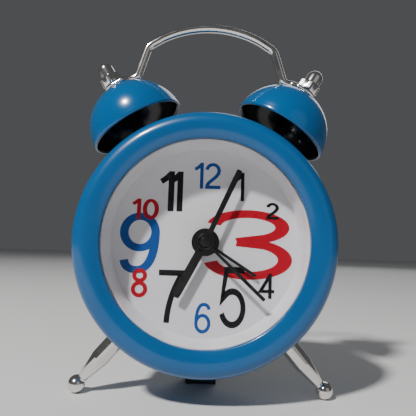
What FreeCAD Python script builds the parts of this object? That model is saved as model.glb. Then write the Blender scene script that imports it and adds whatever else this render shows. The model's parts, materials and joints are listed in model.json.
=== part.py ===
import FreeCAD, Part
import math
import os

import Sketcher

# A small twin-bell quartz alarm clock, in millimetres.
# World frame: +X right and +Z up as one faces the dial, +Y away from the viewer.
# The origin is on the floor, in the middle of the clock's width and depth.
# Each piece on the dial's axis has its own frame: x right, y up, z towards the viewer,
# with z = 0 on the dial's front face.

Vector = FreeCAD.Vector
doc = FreeCAD.newDocument("TwinBellAlarmClock")
sheet = doc.addObject("Spreadsheet::Sheet", "Sizes")


# ---------------------------------------------------------------- named sizes
class Size:
    """A length or an angle: its number now, and the sheet formula that gives it."""

    def __init__(self, value, text):
        self.value = float(value)
        self.text = text

    def __add__(self, other):
        return Size(self.value + number(other), f"({self.text} + {formula(other)})")

    def __radd__(self, other):
        return Size(number(other) + self.value, f"({formula(other)} + {self.text})")

    def __sub__(self, other):
        return Size(self.value - number(other), f"({self.text} - {formula(other)})")

    def __rsub__(self, other):
        return Size(number(other) - self.value, f"({formula(other)} - {self.text})")

    def __mul__(self, other):
        return Size(self.value * number(other), f"({self.text} * {formula(other)})")

    __rmul__ = __mul__

    def __truediv__(self, other):
        return Size(self.value / number(other), f"({self.text} / {formula(other)})")

    def __neg__(self):
        return self * -1


def number(size):
    return size.value if isinstance(size, Size) else float(size)


def formula(size):
    return size.text if isinstance(size, Size) else f"({size})"


def sine(angle):
    return Size(math.sin(math.radians(number(angle))), f"sin({formula(angle)})")


def cosine(angle):
    return Size(math.cos(math.radians(number(angle))), f"cos({formula(angle)})")


def root(size):
    return Size(math.sqrt(number(size)), f"sqrt({formula(size)})")


def chord_height(radius, offset):
    """How far a circle stands from its centre at a sideways offset."""
    return root(radius * radius - offset * offset)


def named(alias, value, note):
    """Puts a size in the sheet, as a number or a sum of other sizes, and gives it back."""
    named.row += 1
    cell = "=" + value.text.replace("Sizes.", "") if isinstance(value, Size) else str(value)
    sheet.set(f"A{named.row}", note)
    sheet.set(f"B{named.row}", cell)
    sheet.setAlias(f"B{named.row}", alias)
    return Size(number(value), f"Sizes.{alias}")


named.row = 0

# case and front
ring_radius = named("ring_radius", 29.0, "front ring, outer radius")
ring_front = named("ring_front", 9.0, "front ring, height of its face above the dial")
ring_back = named("ring_back", 0.8, "front ring, how far its rim reaches behind the dial")
ring_corner = named("ring_corner", 2.8, "front ring, radius of the rounded outer edge")
ring_crown = named("ring_crown", 9.0, "front ring, radius of the face's gentle crown")
ring_wall = named("ring_wall", 0.8, "front ring, wall")
ring_face = named("ring_face", 6.3, "front ring, width of its face")
window_radius = named("window_radius", ring_radius - ring_face,
                      "front ring, radius of its opening")
lens_seat = named("lens_seat", 1.9, "lens radius beyond the opening")
lens_thick = named("lens_thick", 1.2, "lens thickness")
lens_back = named("lens_back", 6.2, "height of the lens's back above the dial")
sight_step = named("sight_step", 0.8, "how far the reflector narrows from window to dial")
dial_sight = named("dial_sight", window_radius - sight_step, "visible radius of the dial")
dial_thick = named("dial_thick", 0.5, "dial plate thickness")
drum_inset = named("drum_inset", 2.5, "case drum, inset from the ring's outer edge")
drum_radius = named("drum_radius", ring_radius - drum_inset, "case drum, outer radius")
drum_wall = named("drum_wall", 0.6, "case drum, wall")
drum_back = named("drum_back", 15.0, "case drum, depth behind the dial")
inner_gap = named("inner_gap", 0.3, "gap round what slides into the drum")
cover_depth = named("cover_depth", 2.0, "rear cover, depth behind the drum")
cover_wall = named("cover_wall", 1.2, "rear cover, wall")
cover_corner = named("cover_corner", 0.8, "rear cover, rounded edge")

# legs and bells
leg_angle = named("leg_angle", 40.7, "legs, angle from straight down")
leg_beyond = named("leg_beyond", 15.2, "legs, distance of the ball beyond the ring")
leg_reach = named("leg_reach", ring_radius + leg_beyond,
                  "legs, distance of the ball from the dial's axis")
ball_radius = named("ball_radius", 2.02, "legs, ball radius")
leg_radius = named("leg_radius", 2.15, "legs, radius of the round bar")
leg_taper = named("leg_taper", 7.8, "legs, length of the taper above the ball's centre")
leg_neck = named("leg_neck", 1.1, "legs, radius where the taper meets the ball")
leg_plane = named("leg_plane", 3.3, "legs, depth of their plane behind the dial")
bell_tilt = named("bell_tilt", 32.0, "bells, angle from upright")
bell_beyond = named("bell_beyond", 4.0, "bells, distance of the rim beyond the ring")
bell_reach = named("bell_reach", ring_radius + bell_beyond,
                   "bells, distance of the rim from the dial's axis")
bell_radius = named("bell_radius", 11.9, "bells, outer radius")
bell_wall = named("bell_wall", 0.7, "bells, wall")
bell_plane = named("bell_plane", 5.0, "bells, depth of their plane behind the dial")
stud_radius = named("stud_radius", 1.0, "threaded rods, radius")
stud_play = named("stud_play", 0.05, "radial play of a rod in its hole")
pillar_radius = named("pillar_radius", 1.8, "bell pillars, radius")
nut_flats = named("nut_flats", 4.0, "small nuts, across the flats")
nut_thick = named("nut_thick", 1.6, "small nuts, thickness")
cap_flats = named("cap_flats", 5.2, "acorn nuts, across the flats")
cap_hex = named("cap_hex", 2.4, "acorn nuts, height of the hexagon")
cap_length = named("cap_length", 6.3, "acorn nuts, whole length")
cap_dome = named("cap_dome", 2.05, "acorn nuts, radius of the dome")

# carrying handle
wire_radius = named("wire_radius", 1.05, "handle, radius of its round wire")
wire_gap = named("wire_gap", 0.2, "handle, gap between the wire and a bell")
wire_start = named("wire_start", 3.9, "handle, from the stud to where the wire is flattened")
tab_thick = named("tab_thick", 1.05, "handle, thickness of its flattened ends")
tab_width = named("tab_width", 5.2, "handle, width of its flattened ends")
tab_over = named("tab_over", 2.8, "handle, flattened end beyond the stud")
tab_inner = named("tab_inner", 4.5, "handle, flattened end on the wire's side of the stud")
bend_reach = named("bend_reach", 5.96, "handle, from the stud to the lower bend")
riser_length = named("riser_length", 8.83, "handle, from the lower bend to the upper bend")
riser_lean = named("riser_lean", 16.65, "handle, inward lean of its risers")
grip_radius = named("grip_radius", 26.64, "handle, radius of the top arc")
lower_bend = named("lower_bend", 1.8, "handle, radius of its lower bends")
upper_bend = named("upper_bend", 3.2, "handle, radius of its upper bends")

# movement
plate_inset = named("plate_inset", 3.1, "movement plates, inset from the drum")
plate_radius = named("plate_radius", drum_radius - plate_inset, "movement plates, radius")
plate_thick = named("plate_thick", 1.0, "movement plates, thickness")
back_room = named("back_room", 6.0, "drum depth that isn't between the movement plates")
plate_space = named("plate_space", drum_back - back_room, "room between the movement plates")
wheel_thick = named("wheel_thick", 0.6, "wheels, thickness")
wheel_gap = named("wheel_gap", 0.55, "gap between one wheel layer and the next")
train_pitch = named("train_pitch", 0.2, "module of the going train")
motion_pitch = named("motion_pitch", 0.3, "module of the motion work")
alarm_pitch = named("alarm_pitch", 0.36, "module of the alarm setting wheels")
arbor_radius = named("arbor_radius", 0.4, "arbors, radius")
shaft_radius = named("shaft_radius", 0.75, "setting shafts, radius")
play = named("play", 0.05, "radial play of an arbor in its hole")
tube_wall = named("tube_wall", 0.5, "wall of the hour and alarm tubes")
tube_play = named("tube_play", 0.1, "radial play between the coaxial tubes")
post_inset = named("post_inset", 3.4, "movement pillars, inset from the plates' edge")
post_ring = named("post_ring", plate_radius - post_inset,
                  "movement pillars, distance from the axis")
post_radius = named("post_radius", 1.8, "movement pillars, radius")
screw_radius = named("screw_radius", 0.6, "small screws, radius")
screw_head = named("screw_head", 1.4, "small screws, radius of the head")
screw_head_thick = named("screw_head_thick", 0.8, "small screws, thickness of the head")
cover_screw_inset = named("cover_screw_inset", 5.7, "rear cover screws, inset from the drum")
cover_screw_ring = named("cover_screw_ring", drum_radius - cover_screw_inset,
                         "rear cover screws, distance from the axis")

# hands
hand_thick = named("hand_thick", 0.3, "hands, thickness")
alarm_height = named("alarm_height", 1.1, "alarm hand, height above the dial")
hour_height = named("hour_height", 2.0, "hour hand, height above the dial")
minute_height = named("minute_height", 2.9, "minute hand, height above the dial")
second_height = named("second_height", 3.7, "second hand, height above the dial")
cap_height = named("cap_height", 0.7, "second hand, height of its centre cap")
minute_length = named("minute_length", 18.3, "minute hand, length from the axis")
hour_length = named("hour_length", 14.1, "hour hand, length from the axis")
second_length = named("second_length", 18.4, "second hand, length from the axis")
alarm_length = named("alarm_length", 13.9, "alarm hand, length from the axis")
alarm_boss = named("alarm_boss", 3.2, "alarm hand, radius of its boss")
hour_boss = named("hour_boss", 2.7, "hour hand, radius of its boss")
minute_boss = named("minute_boss", 2.3, "minute hand, radius of its boss")
second_boss = named("second_boss", 1.84, "second hand, radius of its boss")
cap_radius = named("cap_radius", 1.6, "second hand, radius of its centre cap")
alarm_half = named("alarm_half", 0.35, "alarm hand, half its width")
hour_half = named("hour_half", 1.0, "hour hand, half its width")
minute_half = named("minute_half", 0.64, "minute hand, half its width")
second_half = named("second_half", 0.42, "second hand, half its width near the tip")

# things at the back
knob_radius = named("knob_radius", 3.5, "setting knobs, radius")
knob_thick = named("knob_thick", 3.6, "setting knobs, thickness")
knob_gap = named("knob_gap", 0.4, "gap between a knob and the rear cover")
cell_radius = named("cell_radius", 5.8, "button cell, radius")
cell_thick = named("cell_thick", 5.4, "button cell, thickness")
cell_drop = named("cell_drop", 15.5, "button cell, distance below the axis")
cell_gap = named("cell_gap", 0.3, "gap round the button cell")
door_lip = named("door_lip", 0.8, "battery door, lip beyond the cell's well")
door_thick = named("door_thick", 0.6, "battery door, thickness of its lip")
switch_rise = named("switch_rise", 19.0, "alarm switch, distance above the axis")
switch_travel = named("switch_travel", 3.0, "alarm switch, travel")
buzzer_radius = named("buzzer_radius", 8.5, "buzzer disc, radius")
buzzer_rise = named("buzzer_rise", 5.2, "buzzer disc, distance above the axis")
buzzer_thick = named("buzzer_thick", 0.6, "buzzer disc, thickness")
foot_half = named("foot_half", 3.8, "rear foot, half its width at the floor")
foot_depth = named("foot_depth", 5.0, "rear foot, depth at the floor")

# small inner pieces
reflector_flange = named("reflector_flange", 1.0, "reflector, thickness of its foot")
switch_stem = named("switch_stem", 1.0, "alarm switch, half its stem")
switch_thumb = named("switch_thumb", 1.4, "alarm switch, height of its thumb piece")
sound_hole = named("sound_hole", 0.7, "rear cover, radius of the sound holes")
screw_reach = named("screw_reach", 4.0, "movement screws, length in the pillars")
stator_rest = named("stator_rest", 6.3, "stator, distance of its rests from the rotor")
stator_half = named("stator_half", 3.0, "stator, half the width round the rotor")
stator_tall = named("stator_tall", 7.4, "stator, half its height")
stator_arm = named("stator_arm", 2.4, "stator, width of its arms")
core_reach = named("core_reach", 8.1, "stator, from the rotor to the core's far side")
core_width = named("core_width", 2.6, "stator, width of the coil's core")
magnet_radius = named("magnet_radius", 1.5, "rotor magnet, radius")
magnet_half = named("magnet_half", 1.0, "rotor magnet, half its height")
coil_radius = named("coil_radius", 2.55, "coil, radius of the cheeks")
coil_core = named("coil_core", 1.75, "coil, radius of the bobbin's core")
coil_cheek = named("coil_cheek", 0.6, "coil, thickness of the cheeks")
board_half = named("board_half", 11.0, "circuit board, reach to the left")
board_low = named("board_low", 8.5, "circuit board, distance above the axis")
board_tall = named("board_tall", 9.0, "circuit board, height")
board_thick = named("board_thick", 0.8, "circuit board, thickness")
chip_radius = named("chip_radius", 2.4, "clock chip, radius of its resin blob")
chip_tall = named("chip_tall", 0.9, "clock chip, height of its resin blob")
crystal_radius = named("crystal_radius", 1.0, "quartz crystal, radius of its can")
crystal_length = named("crystal_length", 6.0, "quartz crystal, length of its can")
contact_thick = named("contact_thick", 0.2, "contact strips, thickness")
leaf_width = named("leaf_width", 2.0, "switch leaf, width")

# sizes worked out from the ones above
axis_height = leg_reach * cosine(leg_angle) + ball_radius
knob_back = drum_back + cover_depth + knob_gap + knob_thick
dial_y = ring_front - (ring_front + knob_back) / 2
drum_inner = drum_radius - drum_wall
lens_radius = window_radius + lens_seat
well_radius = cell_radius + cell_gap

# teeth of each wheel and pinion
TEETH = {
    "rotor_pinion": 12, "intermediate_wheel": 60, "intermediate_pinion": 10,
    "seconds_wheel": 60, "seconds_pinion": 8, "third_wheel": 60, "third_pinion": 8,
    "centre_wheel": 64, "minute_pinion": 12, "motion_wheel": 36, "motion_pinion": 10,
    "hour_wheel": 40, "time_set_pinion": 16, "alarm_wheel": 32, "alarm_set_pinion": 24,
}
# A tooth's outline as (height over the pitch circle, half its width), in modules.
WHEEL_TOOTH = ((-1.65, 0.74), (0.0, 0.70), (0.55, 0.46), (0.95, 0.18))
LEAF_TOOTH = ((-1.65, 0.40), (0.0, 0.54), (0.45, 0.40), (0.75, 0.18))
ROOT_DEPTH = 1.35
KNOB_FLUTES = 18
# Where each hand points at rest, in degrees clockwise from up.
ALARM_AT, HOUR_AT, MINUTE_AT, SECOND_AT = 122.2, 207.6, 23.9, 132.9


# ---------------------------------------------------------------- helpers
def bind(thing, prop, size):
    """Sets a property from a size, through the sheet where the size comes from it."""
    if isinstance(size, Size):
        thing.setExpression(prop, size.text)


def origin_plane(body, role):
    return next(plane for plane in body.Origin.OriginFeatures if plane.Role == role)


def new_body(label, x=0, y=0, turn=0):
    """A body on the dial's axis, or beside it at x, y, turned anticlockwise by turn degrees."""
    body = doc.addObject("PartDesign::Body", label)
    body.Label = label
    facing = FreeCAD.Rotation(Vector(1, 0, 0), 90) * FreeCAD.Rotation(Vector(0, 0, 1), turn)
    height = axis_height + y
    body.Placement = FreeCAD.Placement(Vector(number(x), dial_y.value, height.value), facing)
    bind(body, "Placement.Base.x", x)
    bind(body, "Placement.Base.y", dial_y)
    bind(body, "Placement.Base.z", height)
    return body


def spoke_body(label, bearing, depth):
    """A body whose own z axis points away from the dial's axis, clockwise from up by bearing."""
    body = doc.addObject("PartDesign::Body", label)
    body.Label = label
    across = FreeCAD.Rotation(Vector(0, 1, 0), number(bearing))
    place_y = dial_y + depth
    body.Placement = FreeCAD.Placement(Vector(0, place_y.value, axis_height.value), across)
    bind(body, "Placement.Base.y", place_y)
    bind(body, "Placement.Base.z", axis_height)
    bind(body, "Placement.Rotation.Angle", bearing)
    return body


def new_sketch(body, name, role, shift=(0, 0, 0), turn=0, axis=(0, 0, 1)):
    """An empty sketch on one of the body's own origin planes, moved and then turned."""
    sketch = body.newObject("Sketcher::SketchObject", name)
    sketch.AttachmentSupport = (origin_plane(body, role), "")
    sketch.MapMode = "FlatFace"
    base = Vector(*[number(part) for part in shift])
    turned = FreeCAD.Rotation(Vector(*axis), number(turn))
    sketch.AttachmentOffset = FreeCAD.Placement(base, turned)
    for letter, part in zip("xyz", shift):
        bind(sketch, f"AttachmentOffset.Base.{letter}", part)
    return sketch


def pin(sketch, kind, edge, point, size):
    """Fixes one coordinate of a point: kind is DistanceX or DistanceY."""
    if number(size) == 0:
        line = -2 if kind == "DistanceX" else -1
        sketch.addConstraint(Sketcher.Constraint("PointOnObject", edge, point, line))
        return
    index = sketch.addConstraint(Sketcher.Constraint(kind, edge, point, number(size)))
    bind(sketch, f"Constraints[{index}]", size)


def short_arc(start, end, centre):
    """The arc under a half turn from start to end, and which of its ends is start."""
    first = math.atan2(start.y - centre.y, start.x - centre.x)
    last = math.atan2(end.y - centre.y, end.x - centre.x)
    circle = Part.Circle(centre, Vector(0, 0, 1), (start - centre).Length)
    if (last - first) % (2 * math.pi) < math.pi:
        return Part.ArcOfCircle(circle, first, last), (1, 2)
    return Part.ArcOfCircle(circle, last, first), (2, 1)


def draw(sketch, corners, closed=True):
    """An outline. A corner is (x, y), or (x, y, cx, cy) where an arc about cx, cy leaves it."""
    spots = [Vector(number(corner[0]), number(corner[1]), 0) for corner in corners]
    edges = []
    for i, corner in enumerate(corners if closed else corners[:-1]):
        start, end = spots[i], spots[(i + 1) % len(spots)]
        if len(corner) == 4:
            centre = Vector(number(corner[2]), number(corner[3]), 0)
            shape, ends = short_arc(start, end, centre)
        else:
            shape, ends = Part.LineSegment(start, end), (1, 2)
        edges.append((sketch.addGeometry(shape, False), ends))
    for i, (edge, ends) in enumerate(edges):
        if closed or i:
            before, before_ends = edges[i - 1]
            joint = Sketcher.Constraint("Coincident", before, before_ends[1], edge, ends[0])
            sketch.addConstraint(joint)
        pin(sketch, "DistanceX", edge, ends[0], corners[i][0])
        pin(sketch, "DistanceY", edge, ends[0], corners[i][1])
    if not closed:
        edge, ends = edges[-1]
        pin(sketch, "DistanceX", edge, ends[1], corners[-1][0])
        pin(sketch, "DistanceY", edge, ends[1], corners[-1][1])
    for i, (edge, ends) in enumerate(edges):
        if len(corners[i]) == 4:
            run = spots[(i + 1) % len(spots)] - spots[i]
            upright = abs(run.y) >= abs(run.x)
            kind = "DistanceX" if upright else "DistanceY"
            pin(sketch, kind, edge, 3, corners[i][2] if upright else corners[i][3])


def draw_circles(sketch, circles):
    """Circles given as (x, y, radius)."""
    for x, y, radius in circles:
        shape = Part.Circle(Vector(number(x), number(y), 0), Vector(0, 0, 1), number(radius))
        edge = sketch.addGeometry(shape, False)
        pin(sketch, "DistanceX", edge, 3, x)
        pin(sketch, "DistanceY", edge, 3, y)
        index = sketch.addConstraint(Sketcher.Constraint("Radius", edge, number(radius)))
        bind(sketch, f"Constraints[{index}]", radius)


def finish(body, feature):
    body.Tip = feature
    return feature


def turned(body, name, corners):
    """A solid of revolution: corners are (radius, height) in the body's own frame."""
    sketch = new_sketch(body, name + "Outline", "XZ_Plane")
    draw(sketch, corners)
    feature = body.newObject("PartDesign::Revolution", name)
    feature.Profile = sketch
    feature.ReferenceAxis = (sketch, ["V_Axis"])
    feature.Angle = 360
    return finish(body, feature)


def raised(body, name, low, high, corners=(), circles=()):
    """A pad between two heights, of one outline or of some circles."""
    sketch = new_sketch(body, name + "Outline", "XY_Plane", (0, 0, low))
    if corners:
        draw(sketch, list(corners))
    draw_circles(sketch, circles)
    feature = body.newObject("PartDesign::Pad", name)
    feature.Profile = sketch
    feature.Length = number(high - low)
    bind(feature, "Length", high - low)
    return finish(body, feature)


def sunk(body, name, low, high, corners=(), circles=()):
    """A pocket between two heights, cut down from the upper one."""
    sketch = new_sketch(body, name + "Outline", "XY_Plane", (0, 0, high))
    if corners:
        draw(sketch, list(corners))
    draw_circles(sketch, circles)
    feature = body.newObject("PartDesign::Pocket", name)
    feature.Profile = sketch
    feature.Length = number(high - low)
    bind(feature, "Length", high - low)
    return finish(body, feature)


def side_hole(body, name, bearing, height, radius, reach):
    """A round hole from the axis outwards, clockwise from up by bearing degrees."""
    turn = 180 - bearing
    sketch = new_sketch(body, name + "Outline", "XZ_Plane", (0, height, 0), turn, (0, 1, 0))
    bind(sketch, "AttachmentOffset.Rotation.Angle", turn)
    draw_circles(sketch, [(0, 0, radius)])
    feature = body.newObject("PartDesign::Pocket", name)
    feature.Profile = sketch
    feature.Length = number(reach)
    bind(feature, "Length", reach)
    feature.Reversed = True
    return finish(body, feature)


def polar(radius, bearing):
    """x and y of a point at a radius, clockwise from up by bearing."""
    return radius * sine(bearing), radius * cosine(bearing)


def hexagon(flats):
    """Corners of a hexagon across its flats."""
    corner = flats / (2 * cosine(30))
    return [(corner * cosine(60 * k), corner * sine(60 * k)) for k in range(6)]


def box_corners(left, right, low, high):
    return [(left, low), (right, low), (right, high), (left, high)]


def pitch_radius(teeth, pitch):
    return pitch * (TEETH[teeth] / 2)


def root_radius(teeth, pitch):
    return pitch * (TEETH[teeth] / 2 - ROOT_DEPTH)


def cut_teeth(body, teeth, pitch, low, high, phase=0):
    """Teeth on a disc that is already there, the first one phase degrees from x."""
    form = WHEEL_TOOTH if teeth.endswith("_wheel") else LEAF_TOOTH
    reach = pitch_radius(teeth, pitch)
    side = [(reach + pitch * height, pitch * half) for height, half in form]
    corners = [(x, -y) for x, y in side] + list(reversed(side))
    sketch = new_sketch(body, teeth + "Tooth", "XY_Plane", (0, 0, low), phase)
    draw(sketch, corners)
    tooth = body.newObject("PartDesign::Pad", teeth + "Pad")
    tooth.Profile = sketch
    tooth.Length = number(high - low)
    bind(tooth, "Length", high - low)
    pattern = body.newObject("PartDesign::PolarPattern", teeth + "Ring")
    pattern.Originals = [tooth]
    pattern.Axis = (sketch, ["N_Axis"])
    pattern.Angle = 360
    pattern.Occurrences = TEETH[teeth]
    return finish(body, pattern)


def leaf_phase(pinion, wheel, bearing):
    """Turn of a pinion, degrees from x, so that a gap of it faces a tooth of its wheel.

    The wheel's first tooth is on its x axis and the pinion lies anticlockwise from x by bearing.
    """
    share = bearing * TEETH[wheel] / 360
    return bearing + 180 - 360 / TEETH[pinion] * (0.5 - share)


def heading(start, end):
    """Direction from one place to another, in degrees anticlockwise from x."""
    return math.degrees(math.atan2(number(end[1]) - number(start[1]),
                                   number(end[0]) - number(start[0])))


def group(label, members):
    """Identical pieces that share one node, as separate solids."""
    cluster = doc.addObject("Part::Compound", label)
    cluster.Label = label
    cluster.Links = members
    return cluster


# ---------------------------------------------------------------- heights in the movement
plate_front = -dial_thick
plate_back = plate_front - plate_thick
rear_front = plate_back - plate_space
rear_back = rear_front - plate_thick
cover_inner = cover_wall - drum_back - cover_depth
cover_back = -(drum_back + cover_depth)

cell_back = cover_inner + inner_gap / 2
cell_front = cell_back + cell_thick + contact_thick + play
cell_floor = cell_front - rear_front + wheel_gap

LAYERS = {}
layer_top = plate_back - wheel_gap
for layer in ("alarm", "hour", "motion", "centre", "third", "seconds", "intermediate"):
    LAYERS[layer] = (layer_top - wheel_thick, layer_top)
    layer_top = layer_top - wheel_thick - wheel_gap

# places of the arbors beside the axis, clockwise bearings from up
centre_spot = (0, 0)
third_reach = (pitch_radius("seconds_pinion", train_pitch)
               + pitch_radius("third_wheel", train_pitch))
centre_pitch = third_reach / ((TEETH["third_pinion"] + TEETH["centre_wheel"]) / 2)
third_spot = polar(third_reach, 60)
intermediate_spot = polar(pitch_radius("intermediate_pinion", train_pitch)
                          + pitch_radius("seconds_wheel", train_pitch), -75)
rotor_step = polar(pitch_radius("rotor_pinion", train_pitch)
                   + pitch_radius("intermediate_wheel", train_pitch), -100)
rotor_spot = (intermediate_spot[0] + rotor_step[0], intermediate_spot[1] + rotor_step[1])
motion_reach = (pitch_radius("minute_pinion", motion_pitch)
                + pitch_radius("motion_wheel", motion_pitch))
motion_spot = polar(motion_reach, 150)
hour_pitch = motion_reach / ((TEETH["motion_pinion"] + TEETH["hour_wheel"]) / 2)
time_step = polar(pitch_radius("time_set_pinion", motion_pitch)
                  + pitch_radius("motion_wheel", motion_pitch), 100)
time_spot = (motion_spot[0] + time_step[0], motion_spot[1] + time_step[1])
alarm_spot = polar(pitch_radius("alarm_wheel", alarm_pitch)
                   + pitch_radius("alarm_set_pinion", alarm_pitch), -130)
cell_spot = (0, -cell_drop)
POST_BEARINGS = (45, 135, 225, 315)
COVER_SCREW_BEARINGS = (-62, 62, -122, 122)

# coaxial tubes, from the seconds arbor outwards
pipe_bore = arbor_radius + tube_play
pipe_radius = pipe_bore + tube_wall * 0.8
hour_bore = pipe_radius + tube_play
hour_tube = hour_bore + tube_wall
alarm_bore = hour_tube + tube_play
alarm_tube = alarm_bore + tube_wall
dial_hole = alarm_tube + 3 * tube_play


# ---------------------------------------------------------------- case and front
def bezel_ring():
    body = new_body("bezel_ring")
    bend = ring_radius - ring_corner
    bend_height = ring_front - ring_corner
    crown_height = ring_front - ring_crown
    lip_height = crown_height + chord_height(ring_crown, bend - window_radius)
    lens_front = lens_back + lens_thick
    inner = ring_radius - ring_wall
    outer_rim = ring_radius - ring_wall / 2
    turned(body, "Ring", [
        (outer_rim, -ring_back),
        (ring_radius, bend_height, bend, bend_height),
        (bend, ring_front, bend, crown_height),
        (window_radius, lip_height),
        (window_radius, lens_front),
        (lens_radius + inner_gap, lens_front),
        (bend, ring_front - ring_wall, bend, bend_height),
        (inner, bend_height),
        (inner - ring_wall / 2, -ring_back),
    ])
    return body


def lens():
    body = new_body("lens")
    raised(body, "Disc", lens_back, lens_back + lens_thick, circles=[(0, 0, lens_radius)])
    return body


def reflector_ring():
    body = new_body("reflector_ring")
    foot = drum_inner - inner_gap
    turned(body, "Wall", [
        (dial_sight, 0),
        (foot, 0),
        (foot, reflector_flange),
        (lens_radius, reflector_flange),
        (lens_radius, lens_back),
        (window_radius, lens_back),
    ])
    return body


def dial_plate():
    body = new_body("dial_plate")
    circles = [(0, 0, drum_inner - inner_gap), (0, 0, dial_hole)]
    raised(body, "Plate", plate_front, Size(0, "0"), circles=circles)
    return body


def case_drum():
    body = new_body("case_drum")
    flange = ring_radius - ring_wall - ring_wall / 2
    turned(body, "Shell", [
        (drum_radius, -drum_back),
        (drum_radius, -ring_back / 2),
        (flange, -ring_back / 2),
        (flange, ring_back / 2),
        (drum_inner, ring_back / 2),
        (drum_inner, -drum_back),
    ])
    hole = stud_radius + stud_play
    for side, word in ((-1, "Left"), (1, "Right")):
        side_hole(body, word + "BellHole", side * bell_tilt, -bell_plane, hole, ring_radius)
        bearing = side * (180 - leg_angle)
        side_hole(body, word + "LegHole", bearing, -leg_plane, hole, ring_radius)
    return body


def rear_cover():
    body = new_body("rear_cover")
    rim = drum_inner - inner_gap
    spigot = rim - cover_wall
    reach = -(drum_back - cover_depth)
    turned(body, "Shell", [
        (0, cover_back),
        (drum_radius - cover_corner, cover_back, drum_radius - cover_corner,
         cover_back + cover_corner),
        (drum_radius, cover_back + cover_corner),
        (drum_radius, -drum_back),
        (rim, -drum_back),
        (rim, reach),
        (spigot, reach),
        (spigot, cover_inner),
        (0, cover_inner),
    ])
    top = drum_radius * -0.9
    sole = -axis_height
    bar_front = cover_back + foot_depth
    raised(body, "FootTongue", cover_back, -drum_back, [
        (-foot_half * 1.4, top), (-foot_half, sole), (foot_half, sole), (foot_half * 1.4, top)])
    block_top = -(drum_radius + inner_gap)
    raised(body, "FootBlock", cover_back, bar_front, [
        (-foot_half * 1.2, block_top), (-foot_half, sole),
        (foot_half, sole), (foot_half * 1.2, block_top)])
    raised(body, "CellWell", cover_inner - cover_wall / 2, rear_back,
           circles=[(*cell_spot, well_radius + cover_wall / 2)])
    sunk(body, "CellHole", cover_back, rear_back, circles=[(*cell_spot, well_radius)])
    sunk(body, "DoorSeat", cover_back, cover_back + door_thick,
         circles=[(*cell_spot, well_radius + door_lip)])
    shaft_hole = shaft_radius + play
    holes = [(*time_spot, shaft_hole), (*alarm_spot, shaft_hole)]
    for bearing in COVER_SCREW_BEARINGS:
        holes.append((*polar(cover_screw_ring, bearing), screw_radius + play))
    sunk(body, "Holes", cover_back, cover_inner, circles=holes)
    slot = switch_travel / 2 + switch_stem + play
    sunk(body, "SwitchSlot", cover_back, cover_inner, box_corners(
        -slot, slot, switch_rise - switch_stem - play, switch_rise + switch_stem + play))
    sound = [(polar(buzzer_radius / 2, 72 * k)[0], buzzer_rise + polar(buzzer_radius / 2, 72 * k)[1],
              sound_hole) for k in range(5)]
    sunk(body, "SoundHoles", cover_back, cover_inner, circles=sound)
    return body


def rear_cover_screws():
    screws = []
    for k, bearing in enumerate(COVER_SCREW_BEARINGS):
        x, y = polar(cover_screw_ring, bearing)
        body = new_body(f"CoverScrew{k}", x, y)
        turned(body, "Screw", [
            (0, cover_back - screw_head_thick),
            (screw_head, cover_back - screw_head_thick * 0.6),
            (screw_head, cover_back),
            (screw_radius, cover_back),
            (screw_radius, rear_back - plate_thick / 2),
            (0, rear_back - plate_thick / 2),
        ])
        slot = screw_head * 1.1
        sunk(body, "Slot", cover_back - screw_head_thick, cover_back - screw_head_thick * 0.5,
             box_corners(-slot, slot, -screw_radius * 0.4, screw_radius * 0.4))
        screws.append(body)
    return group("rear_cover_screws", screws)


def battery_door():
    body = new_body("battery_door", 0, -cell_drop)
    lip = well_radius + door_lip - play
    plug = well_radius - play
    seat = cover_back + door_thick
    turned(body, "Door", [
        (0, cover_back), (lip, cover_back), (lip, seat), (plug, seat), (plug, cover_inner),
        (0, cover_inner)])
    sunk(body, "CoinSlot", cover_back, cover_back + door_thick / 2,
         box_corners(-plug * 0.7, plug * 0.7, -door_thick, door_thick))
    return body


# ---------------------------------------------------------------- bells, handle and legs
def bell(side, word):
    body = spoke_body(f"{word}_bell", side * bell_tilt, bell_plane)
    inner = bell_radius - bell_wall
    hole = stud_radius + stud_play
    centre = (0, bell_reach)
    turned(body, "Dome", [
        (bell_radius, bell_reach, *centre),
        (hole, bell_reach + chord_height(bell_radius, hole)),
        (hole, bell_reach + chord_height(inner, hole), *centre),
        (inner, bell_reach),
    ])
    return body


def bell_pillar(side, word):
    body = spoke_body(f"{word}_bell_pillar", side * bell_tilt, bell_plane)
    top = bell_reach + chord_height(bell_radius - bell_wall, pillar_radius)
    circles = [(0, 0, pillar_radius), (0, 0, stud_radius)]
    raised(body, "Tube", drum_radius, top, circles=circles)
    return body


# where the bell's crown carries the handle's tab
crown = bell_reach + chord_height(bell_radius, stud_radius + stud_play)
nut_seat = drum_inner - nut_flats * nut_flats / (6 * drum_inner)


def bell_stud(side, word):
    body = spoke_body(f"{word}BellStud", side * bell_tilt, bell_plane)
    raised(body, "Rod", nut_seat - 1.4 * nut_thick, crown + tab_thick + cap_hex,
           circles=[(0, 0, stud_radius)])
    return body


def hex_nut(name, bearing, depth):
    body = spoke_body(name, bearing, depth)
    raised(body, "Nut", nut_seat - nut_thick, nut_seat, hexagon(nut_flats),
           [(0, 0, stud_radius)])
    return body


def acorn_nut(side, word):
    body = spoke_body(f"{word}AcornNut", side * bell_tilt, bell_plane)
    base = crown + tab_thick
    raised(body, "Hexagon", base, base + cap_hex, hexagon(cap_flats))
    top = base + cap_length
    turned(body, "Dome", [
        (0, base + cap_hex / 2),
        (cap_dome, base + cap_hex / 2),
        (cap_dome, top - cap_dome, 0, top - cap_dome),
        (0, top),
    ])
    sunk(body, "Bore", base, base + cap_hex, circles=[(0, 0, stud_radius)])
    return body


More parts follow.
